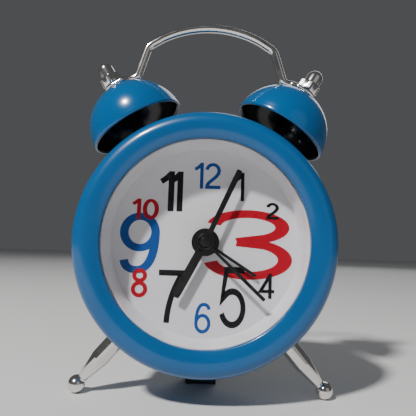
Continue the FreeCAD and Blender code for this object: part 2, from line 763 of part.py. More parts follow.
def carry_handle():
    """A round wire that follows each bell, rises and joins a top arc, with flattened ends."""
    body = new_body("carry_handle")
    along = (cosine(bell_tilt), -sine(bell_tilt))
    out = (sine(bell_tilt), cosine(bell_tilt))

    def by_stud(inwards, reach):
        """A point at a distance along the tab from the stud, and out from the dial's axis."""
        return out[0] * reach - along[0] * inwards, out[1] * reach - along[1] * inwards

    orbit = bell_radius + wire_gap + wire_radius
    start = by_stud(wire_start, bell_reach + chord_height(orbit, wire_start))
    lower = by_stud(bend_reach, bell_reach + chord_height(orbit, bend_reach))
    riser = (-sine(riser_lean), cosine(riser_lean))
    upper = stepped_from(lower, riser, riser_length)
    grip_centre = (0, upper[1] - chord_height(grip_radius, upper[0]))
    peak = grip_centre[1] + grip_radius

    run = (start[0] - lower[0], start[1] - lower[1])
    length = root(run[0] * run[0] + run[1] * run[1])
    run = (run[0] / length, run[1] / length)
    fold = run[0] * riser[0] + run[1] * riser[1]
    cut_back = lower_bend * root((1 + fold) / (1 - fold))
    lift = lower_bend / root(1 - fold * fold)
    lower_centre = (lower[0] + (run[0] + riser[0]) * lift, lower[1] + (run[1] + riser[1]) * lift)

    side = (-riser[1], riser[0])
    foot = (upper[0] + side[0] * upper_bend, upper[1] + side[1] * upper_bend - grip_centre[1])
    climb = foot[0] * riser[0] + foot[1] * riser[1]
    inner = grip_radius - upper_bend
    drop = root(climb * climb - foot[0] * foot[0] - foot[1] * foot[1] + inner * inner) - climb
    swing = stepped_from(foot, riser, drop)
    upper_centre = (swing[0], swing[1] + grip_centre[1])
    share = grip_radius / inner
    on_arc = (swing[0] * share, swing[1] * share + grip_centre[1])

    spine = new_sketch(body, "WirePath", "XY_Plane", (0, 0, -bell_plane))
    draw(spine, [
        (0, peak, *grip_centre),
        (*on_arc, *upper_centre),
        stepped_from(upper, riser, drop),
        (*stepped_from(lower, riser, cut_back), *lower_centre),
        stepped_from(lower, run, cut_back),
        start,
    ], closed=False)
    section = new_sketch(body, "WireSection", "YZ_Plane")
    draw_circles(section, [(peak, -bell_plane, wire_radius)])
    half_wire = body.newObject("PartDesign::AdditivePipe", "HalfWire")
    half_wire.Profile = section
    half_wire.Spine = spine
    finish(body, half_wire)
    mirror = body.newObject("PartDesign::Mirrored", "WholeWire")
    mirror.Originals = [half_wire]
    mirror.MirrorPlane = (origin_plane(body, "YZ_Plane"), [""])
    finish(body, mirror)

    corners = [by_stud(tab_inner, crown), by_stud(-tab_over, crown),
               by_stud(-tab_over, crown + tab_thick), by_stud(tab_inner, crown + tab_thick)]
    low, high = -bell_plane - tab_width / 2, -bell_plane + tab_width / 2
    raised(body, "RightTab", low, high, corners)
    raised(body, "LeftTab", low, high, [(-x, y) for x, y in corners])
    doc.recompute()
    middle = crown + tab_thick / 2
    ends = edges_across(body.Tip, [by_stud(-tab_over, middle)])
    rounded(body, body.Tip, "TabEnds", ends, tab_width * 0.42)
    doc.recompute()
    ends = edges_across(body.Tip, [by_stud(tab_inner, middle)])
    rounded(body, body.Tip, "TabShoulders", ends, tab_width / 2 - wire_radius * 1.2)
    for side, word in ((-1, "Left"), (1, "Right")):
        side_hole(body, word + "StudHole", side * bell_tilt, -bell_plane,
                  stud_radius + stud_play, bell_reach + 2 * bell_radius)
    return body


def stepped_from(spot, direction, reach):
    return spot[0] + direction[0] * reach, spot[1] + direction[1] * reach


def edges_across(feature, spots):
    """Names of the short edges across a tab's thickness, at some places and their mirror images."""
    names = []
    for k, edge in enumerate(feature.Shape.Edges):
        span = edge.Vertexes[-1].Point - edge.Vertexes[0].Point
        middle = edge.CenterOfMass
        across = abs(span.z) < 0.01 and abs(span.Length - tab_thick.value) < 0.01
        for spot in spots:
            miss = math.hypot(abs(middle.x) - number(spot[0]), middle.y - number(spot[1]))
            if across and miss < 0.02:
                names.append(f"Edge{k + 1}")
    return names


def rounded(body, base, name, edges, radius):
    feature = body.newObject("PartDesign::Fillet", name)
    feature.Base = (base, edges)
    feature.Radius = number(radius)
    bind(feature, "Radius", radius)
    return finish(body, feature)


def leg(side, word):
    body = spoke_body(f"{word}_leg", side * (180 - leg_angle), leg_plane)
    taper_start = leg_reach - leg_taper
    ball_start = leg_reach - chord_height(ball_radius, leg_neck)
    turned(body, "Bar", [
        (0, nut_seat - 1.4 * nut_thick),
        (stud_radius, nut_seat - 1.4 * nut_thick),
        (stud_radius, drum_radius),
        (leg_radius, drum_radius),
        (leg_radius, taper_start),
        (leg_neck, ball_start, 0, leg_reach),
        (ball_radius, leg_reach, 0, leg_reach),
        (0, leg_reach + ball_radius),
    ])
    return body


# ---------------------------------------------------------------- hands
def hand(label, bearing, height, outline, boss, hole):
    """A flat hand that points up in its own frame and is turned clockwise by bearing."""
    body = new_body(label, turn=-bearing)
    raised(body, "Blade", height, height + hand_thick, outline)
    raised(body, "Boss", height, height + hand_thick, circles=[(0, 0, boss)])
    if hole is not None:
        sunk(body, "Bore", height - hand_thick, height + 2 * hand_thick, circles=[(0, 0, hole)])
    return body


def blade(root_half, half, length):
    """Outline of a hand: from root_half at the axis to half near its blunt end."""
    side = [(root_half, 0), (half, length - half), (half * 0.8, length)]
    return side + [(-x, y) for x, y in reversed(side)]


# ---------------------------------------------------------------- movement
def movement_front_plate():
    body = new_body("movement_front_plate")
    bore = alarm_tube + tube_play
    raised(body, "Plate", plate_back, plate_front, circles=[(0, 0, plate_radius), (0, 0, bore)])
    posts = [(*polar(post_ring, bearing), post_radius) for bearing in POST_BEARINGS]
    raised(body, "Posts", rear_front, plate_back, circles=posts)
    stator_low = LAYERS["third"][1]
    rests = [(rotor_spot[0], rotor_spot[1] + side * stator_rest, arbor_radius * 3)
             for side in (-1, 1)]
    raised(body, "StatorRests", stator_low, plate_back, circles=rests)
    raised(body, "MotionStud", LAYERS["motion"][0] - wheel_gap / 2, plate_back,
           circles=[(*motion_spot, arbor_radius)])
    pivots = [(*spot, arbor_radius + play) for spot in (third_spot, intermediate_spot, rotor_spot)]
    shafts = [(*spot, shaft_radius + play) for spot in (time_spot, alarm_spot)]
    sunk(body, "Pivots", plate_back, plate_back + plate_thick * 0.6, circles=pivots + shafts)
    threads = [(*polar(post_ring, bearing), screw_radius) for bearing in POST_BEARINGS]
    sunk(body, "Threads", rear_front, rear_front + screw_reach, circles=threads)
    return body


def movement_rear_plate():
    body = new_body("movement_rear_plate")
    raised(body, "Plate", rear_back, rear_front, circles=[(0, 0, plate_radius)])
    posts = [(*polar(cover_screw_ring, bearing), post_radius) for bearing in COVER_SCREW_BEARINGS]
    raised(body, "Posts", cover_inner, rear_back, circles=posts)
    raised(body, "CellFloor", rear_front, rear_front + cell_floor,
           circles=[(*cell_spot, well_radius + cover_wall / 2)])
    sunk(body, "CellHole", rear_back, cell_front, circles=[(*cell_spot, well_radius)])
    pivots = [(*spot, arbor_radius + play)
              for spot in (centre_spot, third_spot, intermediate_spot, rotor_spot)]
    shafts = [(*spot, shaft_radius + play) for spot in (time_spot, alarm_spot)]
    posts = [(*polar(post_ring, bearing), screw_radius + play) for bearing in POST_BEARINGS]
    sunk(body, "Pivots", rear_back, rear_front, circles=pivots + shafts + posts)
    threads = [(*polar(cover_screw_ring, bearing), screw_radius)
               for bearing in COVER_SCREW_BEARINGS]
    sunk(body, "Threads", cover_inner, rear_back - plate_thick / 2, circles=threads)
    return body


def movement_screws():
    screws = []
    for k, bearing in enumerate(POST_BEARINGS):
        x, y = polar(post_ring, bearing)
        body = new_body(f"MovementScrew{k}", x, y)
        turned(body, "Screw", [
            (0, rear_back - screw_head_thick),
            (screw_head, rear_back - screw_head_thick * 0.6),
            (screw_head, rear_back),
            (screw_radius, rear_back),
            (screw_radius, rear_front + screw_reach * 0.9),
            (0, rear_front + screw_reach * 0.9),
        ])
        screws.append(body)
    return group("movement_screws", screws)


def stepped(body, name, steps):
    """A turned arbor: steps are (low, high, radius) from the lowest up, end to end."""
    corners = [(0, steps[0][0])]
    for low, high, radius in steps:
        corners += [(radius, low), (radius, high)]
    corners.append((0, steps[-1][1]))
    turned(body, name, corners)


def seconds_wheel():
    body = new_body("seconds_wheel")
    low, high = LAYERS["seconds"]
    leaf_low, leaf_high = LAYERS["third"]
    stepped(body, "Arbor", [
        (rear_back, low, arbor_radius),
        (low, high, root_radius("seconds_wheel", train_pitch)),
        (high, leaf_low, arbor_radius),
        (leaf_low, leaf_high, root_radius("seconds_pinion", train_pitch)),
        (leaf_high, second_height, arbor_radius),
    ])
    phase = leaf_phase("seconds_pinion", "third_wheel", heading(third_spot, centre_spot))
    cut_teeth(body, "seconds_pinion", train_pitch, leaf_low, leaf_high, phase)
    cut_teeth(body, "seconds_wheel", train_pitch, low, high)
    return body


def third_wheel():
    body = new_body("third_wheel", *third_spot)
    low, high = LAYERS["third"]
    leaf_low, leaf_high = LAYERS["centre"]
    stepped(body, "Arbor", [
        (rear_back, low, arbor_radius),
        (low, high, root_radius("third_wheel", train_pitch)),
        (high, leaf_low, arbor_radius),
        (leaf_low, leaf_high, root_radius("third_pinion", centre_pitch)),
        (leaf_high, plate_back + plate_thick / 2, arbor_radius),
    ])
    phase = leaf_phase("third_pinion", "centre_wheel", heading(centre_spot, third_spot))
    cut_teeth(body, "third_pinion", centre_pitch, leaf_low, leaf_high, phase)
    cut_teeth(body, "third_wheel", train_pitch, low, high)
    return body


def centre_wheel():
    body = new_body("centre_wheel")
    low, high = LAYERS["centre"]
    turned(body, "Hub", ring_section(pipe_radius + play, root_radius("centre_wheel", centre_pitch),
                                     low, high))
    cut_teeth(body, "centre_wheel", centre_pitch, low, high)
    return body


def ring_section(inner, outer, low, high):
    return [(inner, low), (outer, low), (outer, high), (inner, high)]


def intermediate_wheel():
    body = new_body("intermediate_wheel", *intermediate_spot)
    low, high = LAYERS["intermediate"]
    leaf_low, leaf_high = LAYERS["seconds"]
    stepped(body, "Arbor", [
        (rear_back, low, arbor_radius),
        (low, high, root_radius("intermediate_wheel", train_pitch)),
        (high, leaf_low, arbor_radius),
        (leaf_low, leaf_high, root_radius("intermediate_pinion", train_pitch)),
        (leaf_high, plate_back + plate_thick / 2, arbor_radius),
    ])
    phase = leaf_phase("intermediate_pinion", "seconds_wheel",
                       heading(centre_spot, intermediate_spot))
    cut_teeth(body, "intermediate_pinion", train_pitch, leaf_low, leaf_high, phase)
    cut_teeth(body, "intermediate_wheel", train_pitch, low, high)
    return body


def rotor():
    body = new_body("rotor", *rotor_spot)
    low, high = LAYERS["intermediate"]
    stepped(body, "Arbor", [
        (rear_back, low, arbor_radius),
        (low, high, root_radius("rotor_pinion", train_pitch)),
        (high, plate_back + plate_thick / 2, arbor_radius),
    ])
    phase = leaf_phase("rotor_pinion", "intermediate_wheel", heading(intermediate_spot, rotor_spot))
    cut_teeth(body, "rotor_pinion", train_pitch, low, high, phase)
    return body


def rotor_magnet():
    body = new_body("rotor_magnet", *rotor_spot)
    middle = (LAYERS["third"][0] + LAYERS["third"][1]) / 2
    raised(body, "Magnet", middle - magnet_half, middle + magnet_half,
           circles=[(0, 0, magnet_radius), (0, 0, arbor_radius)])
    return body


def minute_pipe():
    body = new_body("minute_pipe")
    low, high = LAYERS["motion"]
    disc = root_radius("minute_pinion", motion_pitch)
    turned(body, "Pipe", [
        (pipe_bore, LAYERS["centre"][0] - play),
        (pipe_radius, LAYERS["centre"][0] - play),
        (pipe_radius, low),
        (disc, low),
        (disc, high),
        (pipe_radius, high),
        (pipe_radius, minute_height + hand_thick),
        (pipe_bore, minute_height + hand_thick),
    ])
    phase = leaf_phase("minute_pinion", "motion_wheel", heading(motion_spot, centre_spot))
    cut_teeth(body, "minute_pinion", motion_pitch, low, high, phase)
    return body


def motion_wheel():
    body = new_body("motion_wheel", *motion_spot)
    low, high = LAYERS["motion"]
    leaf_low, leaf_high = LAYERS["hour"]
    bore = arbor_radius + play
    disc = root_radius("motion_wheel", motion_pitch)
    leaf = root_radius("motion_pinion", hour_pitch)
    turned(body, "Hub", [
        (bore, low), (disc, low), (disc, high), (leaf, high), (leaf, leaf_high), (bore, leaf_high)])
    phase = leaf_phase("motion_pinion", "hour_wheel", heading(centre_spot, motion_spot))
    cut_teeth(body, "motion_pinion", hour_pitch, leaf_low, leaf_high, phase)
    cut_teeth(body, "motion_wheel", motion_pitch, low, high)
    return body


def tube_wheel(label, teeth, pitch, layer, bore, radius, top):
    """A wheel on a tube that carries a hand."""
    body = new_body(label)
    low, high = LAYERS[layer]
    disc = root_radius(teeth, pitch)
    turned(body, "Tube", [
        (bore, low), (disc, low), (disc, high), (radius, high), (radius, top), (bore, top)])
    cut_teeth(body, teeth, pitch, low, high)
    return body


def setting_shaft(label, spot, teeth, pitch, layer, phase):
    body = new_body(label, *spot)
    low, high = LAYERS[layer]
    stepped(body, "Shaft", [
        (cover_back - knob_gap - knob_thick * 0.7, low, shaft_radius),
        (low, high, root_radius(teeth, pitch)),
        (high, plate_back + plate_thick / 2, shaft_radius),
    ])
    cut_teeth(body, teeth, pitch, low, high, phase)
    return body


def setting_knob(label, spot):
    body = new_body(label, *spot)
    front = cover_back - knob_gap
    back = front - knob_thick
    edge = knob_thick * 0.15
    turned(body, "Knob", [
        (0, back), (knob_radius - edge, back), (knob_radius, back + edge),
        (knob_radius, front - edge), (knob_radius - edge, front), (0, front)])
    sunk(body, "Bore", front - knob_thick * 0.7, front, circles=[(0, 0, shaft_radius)])
    sketch = new_sketch(body, "FluteOutline", "XY_Plane", (0, 0, front))
    draw_circles(sketch, [(knob_radius, 0, knob_thick * 0.09)])
    flute = body.newObject("PartDesign::Pocket", "Flute")
    flute.Profile = sketch
    flute.Length = number(knob_thick)
    bind(flute, "Length", knob_thick)
    flutes = body.newObject("PartDesign::PolarPattern", "Flutes")
    flutes.Originals = [flute]
    flutes.Axis = (sketch, ["N_Axis"])
    flutes.Angle = 360
    flutes.Occurrences = KNOB_FLUTES
    finish(body, flutes)
    return body


# ---------------------------------------------------------------- motor and electrics
def stator():
    body = new_body("stator", *rotor_spot)
    low, high = LAYERS["third"]
    raised(body, "Frame", low, high, box_corners(-core_reach, stator_half, -stator_tall, stator_tall))
    sunk(body, "Window", low, high, box_corners(
        core_width - core_reach, -stator_half, stator_arm - stator_tall, stator_tall - stator_arm))
    sunk(body, "RotorHole", low, high, circles=[(0, 0, magnet_radius + 2 * inner_gap)])
    return body


def round_on_core(label, radius, bore, low, high):
    """A round tube along the coil's core, which lies along y beside the rotor."""
    body = new_body(label, *rotor_spot)
    middle = (LAYERS["third"][0] + LAYERS["third"][1]) / 2
    centre_x = core_width / 2 - core_reach
    sketch = new_sketch(body, "TubeOutline", "XZ_Plane", (0, 0, -high))
    draw_circles(sketch, [(centre_x, middle, radius)])
    if isinstance(bore, tuple):
        draw(sketch, box_corners(centre_x - bore[0], centre_x + bore[0],
                                 middle - bore[1], middle + bore[1]))
    else:
        draw_circles(sketch, [(centre_x, middle, bore)])
    feature = body.newObject("PartDesign::Pad", "Tube")
    feature.Profile = sketch
    feature.Length = number(high - low)
    bind(feature, "Length", high - low)
    finish(body, feature)
    return body, centre_x, middle


def coil_bobbin():
    reach = stator_tall - stator_arm
    bore = (core_width / 2, wheel_thick / 2)
    body, centre_x, middle = round_on_core("coil_bobbin", coil_core, bore, -reach, reach)
    for word, low in (("Lower", -reach), ("Upper", reach - coil_cheek)):
        sketch = new_sketch(body, word + "CheekOutline", "XZ_Plane", (0, 0, -(low + coil_cheek)))
        draw_circles(sketch, [(centre_x, middle, coil_radius)])
        draw(sketch, box_corners(centre_x - bore[0], centre_x + bore[0],
                                 middle - bore[1], middle + bore[1]))
        cheek = body.newObject("PartDesign::Pad", word + "Cheek")
        cheek.Profile = sketch
        cheek.Length = number(coil_cheek)
        bind(cheek, "Length", coil_cheek)
        finish(body, cheek)
    return body


def coil_winding():
    reach = stator_tall - stator_arm - coil_cheek
    return round_on_core("coil_winding", coil_radius - play * 4, coil_core, -reach, reach)[0]


def circuit_board():
    body = new_body("circuit_board")
    raised(body, "Board", rear_back - board_thick, rear_back,
           box_corners(-board_half, board_half / 2, board_low, board_low + board_tall))
    return body


def clock_chip():
    body = new_body("clock_chip", -board_half / 2, board_low + board_tall / 2)
    top = rear_back - board_thick
    turned(body, "Blob", [
        (0, top - chip_tall), (chip_radius * 0.5, top - chip_tall * 0.9), (chip_radius, top), (0, top)])
    return body


def quartz_crystal():
    body = new_body("quartz_crystal")
    low = board_low + board_tall * 0.15
    lie = rear_back - board_thick - crystal_radius
    sketch = new_sketch(body, "CanOutline", "XZ_Plane", (0, 0, -(low + crystal_length)))
    draw_circles(sketch, [(crystal_radius, lie, crystal_radius)])
    can = body.newObject("PartDesign::Pad", "Can")
    can.Profile = sketch
    can.Length = number(crystal_length)
    bind(can, "Length", crystal_length)
    finish(body, can)
    return body


def piezo_buzzer():
    body = new_body("piezo_buzzer", 0, buzzer_rise)
    half = buzzer_thick / 2
    turned(body, "Disc", [
        (0, cover_inner), (buzzer_radius, cover_inner), (buzzer_radius, cover_inner + half),
        (buzzer_radius * 0.7, cover_inner + half), (buzzer_radius * 0.7, cover_inner + 2 * half),
        (0, cover_inner + 2 * half)])
    return body


def button_cell():
    body = new_body("button_cell", 0, -cell_drop)
    turned(body, "Can", [
        (0, cell_back), (cell_radius * 0.96, cell_back), (cell_radius, cell_back + cell_radius * 0.04),
        (cell_radius, cell_back + cell_thick * 0.8), (cell_radius * 0.82, cell_back + cell_thick * 0.88),
        (cell_radius * 0.82, cell_back + cell_thick), (0, cell_back + cell_thick)])
    return body


def battery_contact_minus():
    body = new_body("battery_contact_minus", 0, -cell_drop)
    half = contact_thick * 6
    low = cell_back + cell_thick
    raised(body, "Strip", low, low + contact_thick,
           box_corners(-half, half, cell_radius * -0.6, cell_radius))
    return body


def battery_contact_plus():
    body = new_body("battery_contact_plus", 0, -cell_drop)
    half = contact_thick * 4
    raised(body, "Strip", cell_back, cell_back + cell_thick * 0.8,
           box_corners(cell_radius, cell_radius + contact_thick, -half, half))
    return body


def switch_spring():
    body = new_body("switch_spring")
    top = rear_back - board_thick
    raised(body, "Leaf", top - contact_thick, top, box_corners(
        leaf_width * -1.5, leaf_width * -0.5, board_low + board_tall * 0.6, switch_rise + leaf_width))
    return body


def alarm_switch_slider():
    body = new_body("alarm_switch_slider", -switch_travel / 2, switch_rise)
    stem_back = cover_back - inner_gap / 3
    stem_front = cover_inner + inner_gap / 3
    raised(body, "Thumb", stem_back - switch_thumb, stem_back, box_corners(
        -2 * switch_stem, 2 * switch_stem, -1.6 * switch_stem, 1.6 * switch_stem))
    raised(body, "Stem", stem_back, stem_front, box_corners(
        -switch_stem, switch_stem, -switch_stem, switch_stem))
    raised(body, "Keeper", stem_front, stem_front + cover_wall / 2, box_corners(
        -1.8 * switch_stem, 1.8 * switch_stem, -1.8 * switch_stem, 1.8 * switch_stem))
    return body


# ---------------------------------------------------------------- build
def build():
    nodes = [bezel_ring(), lens(), reflector_ring(), dial_plate(), case_drum(), rear_cover(),
             rear_cover_screws(), battery_door()]
    studs, caps, nuts = [], [], []
    for side, word in ((-1, "left"), (1, "right")):
        nodes += [bell(side, word), bell_pillar(side, word), leg(side, word)]
        studs.append(bell_stud(side, word))
        caps.append(acorn_nut(side, word))
        nuts.append(hex_nut(word + "BellNut", side * bell_tilt, bell_plane))
        nuts.append(hex_nut(word + "LegNut", side * (180 - leg_angle), leg_plane))
    nodes += [group("bell_studs", studs), group("acorn_nuts", caps), group("case_nuts", nuts)]
    nodes.append(carry_handle())

    nodes += [
        hand("alarm_hand", ALARM_AT, alarm_height, blade(alarm_half, alarm_half, alarm_length),
             alarm_boss, alarm_tube),
        hand("hour_hand", HOUR_AT, hour_height, blade(hour_half, hour_half, hour_length),
             hour_boss, hour_tube),
        hand("minute_hand", MINUTE_AT, minute_height,
             blade(minute_half * 0.85, minute_half, minute_length), minute_boss, pipe_radius),
        hand("second_hand", SECOND_AT, second_height,
             blade(second_half * 0.7, second_half, second_length), second_boss, None),
    ]
    raised(nodes[-1], "CentreCap", second_height + hand_thick, second_height + cap_height,
           circles=[(0, 0, cap_radius)])

    nodes += [movement_front_plate(), movement_rear_plate(), movement_screws()]
    nodes += [seconds_wheel(), third_wheel(), centre_wheel(), intermediate_wheel(), rotor(),
              rotor_magnet(), minute_pipe(), motion_wheel()]
    nodes.append(tube_wheel("hour_wheel", "hour_wheel", hour_pitch, "hour", hour_bore, hour_tube,
                            hour_height + hand_thick))
    nodes.append(tube_wheel("alarm_wheel", "alarm_wheel", alarm_pitch, "alarm", alarm_bore,
                            alarm_tube, alarm_height + hand_thick))
    phase = leaf_phase("time_set_pinion", "motion_wheel", heading(motion_spot, time_spot))
    nodes.append(setting_shaft("time_set_shaft", time_spot, "time_set_pinion", motion_pitch,
                               "motion", phase))
    phase = leaf_phase("alarm_set_pinion", "alarm_wheel", heading(centre_spot, alarm_spot))
    nodes.append(setting_shaft("alarm_set_shaft", alarm_spot, "alarm_set_pinion", alarm_pitch,
                               "alarm", phase))
    nodes += [setting_knob("time_knob", time_spot), setting_knob("alarm_knob", alarm_spot)]

    nodes += [stator(), coil_bobbin(), coil_winding(), circuit_board(), clock_chip(),
              quartz_crystal(), piezo_buzzer(), button_cell(), alarm_switch_slider()]
    nodes += [battery_contact_minus(), battery_contact_plus(), switch_spring()]
    return nodes


def check(nodes):
    """Stops when any feature failed or any piece is not a sound solid."""
    for thing in doc.Objects:
        if "Invalid" in thing.State or "Error" in thing.State:
            raise RuntimeError(f"{thing.Label} failed: {thing.getStatusString()}")
    for node in nodes:
        shape = node.Shape
        if shape.isNull() or not shape.isValid() or not shape.Solids:
            raise RuntimeError(f"{node.Label} is not a sound solid")
        expected = len(node.Links) if hasattr(node, "Links") else 1
        if len(shape.Solids) != expected:
            raise RuntimeError(f"{node.Label} has {len(shape.Solids)} solids, not {expected}")
        for part in getattr(node, "Group", []):
            if part.isDerivedFrom("PartDesign::Pocket") and part.BaseFeature is not None:
                if part.BaseFeature.Shape.Volume - part.Shape.Volume < 1e-6:
                    raise RuntimeError(f"{part.Label} of {node.Label} cuts nothing")


def export(nodes):
    os.makedirs("parts", exist_ok=True)
    for node in nodes:
        node.Shape.exportStep(f"parts/{node.Label}.step")
        print(node.Label, round(node.Shape.Volume, 1))


nodes = build()
doc.recompute()
check(nodes)
export(nodes)
print(len(nodes), "nodes")
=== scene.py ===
# %% [markdown]
# # A small twin-bell alarm clock
# The working model of the clock comes in first as a fixed frame: its bodies, its pieces and its
# joints. Everything made below is placed from that frame, so nothing has to be fitted by eye.
# Lengths are written in millimetres and turned into Blender's metres by one factor.

# %% Load the frame
import json
import math

import bmesh
import bpy
from mathutils import Matrix, Vector


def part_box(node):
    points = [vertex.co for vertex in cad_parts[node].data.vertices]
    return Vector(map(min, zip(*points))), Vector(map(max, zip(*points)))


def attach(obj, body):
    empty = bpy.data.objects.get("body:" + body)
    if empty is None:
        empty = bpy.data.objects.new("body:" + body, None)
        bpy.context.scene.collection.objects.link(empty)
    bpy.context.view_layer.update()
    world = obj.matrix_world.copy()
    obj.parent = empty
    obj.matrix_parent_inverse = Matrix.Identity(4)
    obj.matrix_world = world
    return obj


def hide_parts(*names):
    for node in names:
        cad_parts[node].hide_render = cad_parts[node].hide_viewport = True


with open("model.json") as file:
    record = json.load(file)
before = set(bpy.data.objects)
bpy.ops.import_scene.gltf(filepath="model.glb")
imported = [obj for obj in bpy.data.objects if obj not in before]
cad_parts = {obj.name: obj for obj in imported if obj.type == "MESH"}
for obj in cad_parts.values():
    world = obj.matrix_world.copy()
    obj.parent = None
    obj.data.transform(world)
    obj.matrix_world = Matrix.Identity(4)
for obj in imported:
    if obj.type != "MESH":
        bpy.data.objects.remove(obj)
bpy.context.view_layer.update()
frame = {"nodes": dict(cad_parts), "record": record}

MM = 0.001

# %% [markdown]
# ## Two frames of reference
# A clock is made of turned parts on the dial's axis and of parts on spokes that point away from
# it. Two matrices take millimetres in those frames to the world: in the dial's frame x is right,
# y is up and z comes out of the dial, and in a spoke's frame z points away from the axis.

# %% Frames measured from the model
ring_low, ring_high = (Vector(corner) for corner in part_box("bezel_ring"))
AXIS_Z = (ring_low.z + ring_high.z) / 2
DIAL_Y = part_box("dial_plate")[0][1]
RING_RADIUS = (ring_high.x - ring_low.x) / 2 / MM
RING_FRONT = (DIAL_Y - ring_low.y) / MM
BELL_TILT = 32.0
LEG_TILT = 139.3
BELL_DEPTH = 5.0
LEG_DEPTH = 3.3

DIAL = Matrix(((MM, 0, 0, 0), (0, 0, -MM, DIAL_Y), (0, MM, 0, AXIS_Z), (0, 0, 0, 1)))


def spoke(bearing, depth):
    """Frame of a spoke, clockwise from up by bearing degrees, depth behind the dial's face."""
    s, c = math.sin(math.radians(bearing)) * MM, math.cos(math.radians(bearing)) * MM
    return Matrix(((c, 0, s, 0), (0, MM, 0, DIAL_Y + depth * MM), (-s, 0, c, AXIS_Z), (0, 0, 0, 1)))


def on_dial(x, y, z=0.0):
    """The dial's frame moved to a place beside the axis."""
    return DIAL @ Matrix.Translation((x, y, z))


print("ring radius", round(RING_RADIUS, 2), "mm, axis", round(AXIS_Z / MM, 2), "mm up")

# %% [markdown]
# ## Shader maths in plain Python
# A node tree is easier to read as a formula. `Link` wraps a socket so that `+`, `*` and friends
# add Math nodes, and `Finish` makes a material and any other node from one method.

# %% Nodes and sockets that can be calculated with
def make(tree, kind, settings=None, *values, out=0, **named):
    """One node in a tree: its settings first, then its sockets' values or links."""
    made = tree.nodes.new(kind)
    for key, value in (settings or {}).items():
        setattr(made, key, value)
    pairs = list(enumerate(values)) + [(key.replace("_", " "), value) for key, value in named.items()]
    for key, value in pairs:
        if isinstance(value, Link):
            tree.links.new(value.socket, made.inputs[key])
        else:
            made.inputs[key].default_value = value
    return Link(tree, made.outputs[out])


class Link:
    """A socket of a tree, with sums, products and the like as Math nodes."""

    def __init__(self, tree, socket):
        self.tree, self.socket = tree, socket

    def math(self, operation, *values, clamp=False):
        settings = {"operation": operation, "use_clamp": clamp}
        return make(self.tree, "ShaderNodeMath", settings, *values)

    def __add__(self, other):
        return self.math("ADD", self, other)

    __radd__ = __add__

    def __mul__(self, other):
        return self.math("MULTIPLY", self, other)

    __rmul__ = __mul__

    def __sub__(self, other):
        return self.math("SUBTRACT", self, other)

    def __rsub__(self, other):
        return self.math("SUBTRACT", other, self)

    def __truediv__(self, other):
        return self.math("DIVIDE", self, other)

    def __rtruediv__(self, other):
        return self.math("DIVIDE", other, self)

    def root(self):
        return self.math("SQRT", self)

    def held(self):
        """The value held between 0 and 1."""
        return self.math("ADD", self, 0.0, clamp=True)

    def least(self, other):
        return self.math("MINIMUM", self, other)


class Finish:
    """A procedural material: shader settings as keywords, then its varying sockets."""

    def __init__(self, name, **settings):
        self.material = bpy.data.materials.new(name)
        self.material.use_nodes = True
        self.tree = self.material.node_tree
        self.shader = self.tree.nodes["Principled BSDF"]
        self.set(**settings)

    def set(self, **settings):
        for key, value in settings.items():
            socket = self.shader.inputs[key.replace("_", " ")]
            if isinstance(value, Link):
                self.tree.links.new(value.socket, socket)
            else:
                socket.default_value = value

    def node(self, kind, settings=None, *values, out=0, **named):
        return make(self.tree, kind, settings, *values, out=out, **named)

    def place(self):
        return self.node("ShaderNodeTexCoord", out="Object")

    def noise(self, scale, detail=3.0, where=None):
        where = where or self.place()
        return self.node("ShaderNodeTexNoise", None, Vector=where, Scale=scale, Detail=detail)

    def between(self, value, low, high):
        """Maps 0..1 to low..high and holds it there."""
        return self.node("ShaderNodeMapRange", None, value, 0.3, 0.7, low, high)

    def blend(self, share, first, second):
        """Mixes two colours."""
        made = self.tree.nodes.new("ShaderNodeMix")
        made.data_type = "RGBA"
        for key, value in ((0, share), (6, first), (7, second)):
            if isinstance(value, Link):
                self.tree.links.new(value.socket, made.inputs[key])
            else:
                made.inputs[key].default_value = value if key == 0 else (*value[:3], 1.0)
        return Link(self.tree, made.outputs[2])

    def bump(self, height, depth, strength=1.0):
        return self.node("ShaderNodeBump", None, Strength=strength, Distance=depth, Height=height)


def shade(colour, factor):
    """The same colour, darker or lighter."""
    return tuple(min(1.0, part * factor) for part in colour[:3])


# %% [markdown]
# ## Enamel on metal
# The ring, the bells and the drum are pressed metal with a thick blue stoved enamel. Under the
# gloss the paint is never quite even: it has a faint orange-peel ripple, and a slightly deeper
# tone where it lies thick.

# %% Enamel finishes
ENAMEL_BLUE = (0.0, 0.086, 0.25)


def enamel(name, colour, roughness=0.3, ripple=0.00001):
    paint = Finish(name, Coat_Roughness=0.1, Coat_IOR=1.5, Specular_IOR_Level=0.35)
    cloud = paint.noise(55.0, 2.0)
    peel = paint.noise(420.0, 1.0)
    tone = paint.blend(paint.between(cloud, 0.0, 1.0), shade(colour, 0.93), shade(colour, 1.05))
    paint.set(Base_Color=tone,
              Roughness=paint.between(cloud, roughness * 0.9, roughness * 1.15),
              Coat_Weight=paint.between(paint.noise(130.0, 2.0), 0.45, 0.6),
              Normal=paint.bump(peel, ripple, 0.2))
    return paint.material


ring_paint = enamel("ring_enamel", ENAMEL_BLUE)
bell_paint = enamel("bell_enamel", (0.0, 0.092, 0.26), 0.2)
drum_paint = enamel("drum_enamel", (0.0, 0.082, 0.235), 0.3)
print("enamel finishes:", ring_paint.name, bell_paint.name, drum_paint.name)

# %% [markdown]
# ## Bright nickel
# The legs, the handle and the cap nuts are bright plated. Plating mirrors the room, so its look
# is mostly roughness: faint cloudy smears from fingers, and hair-fine polishing lines.

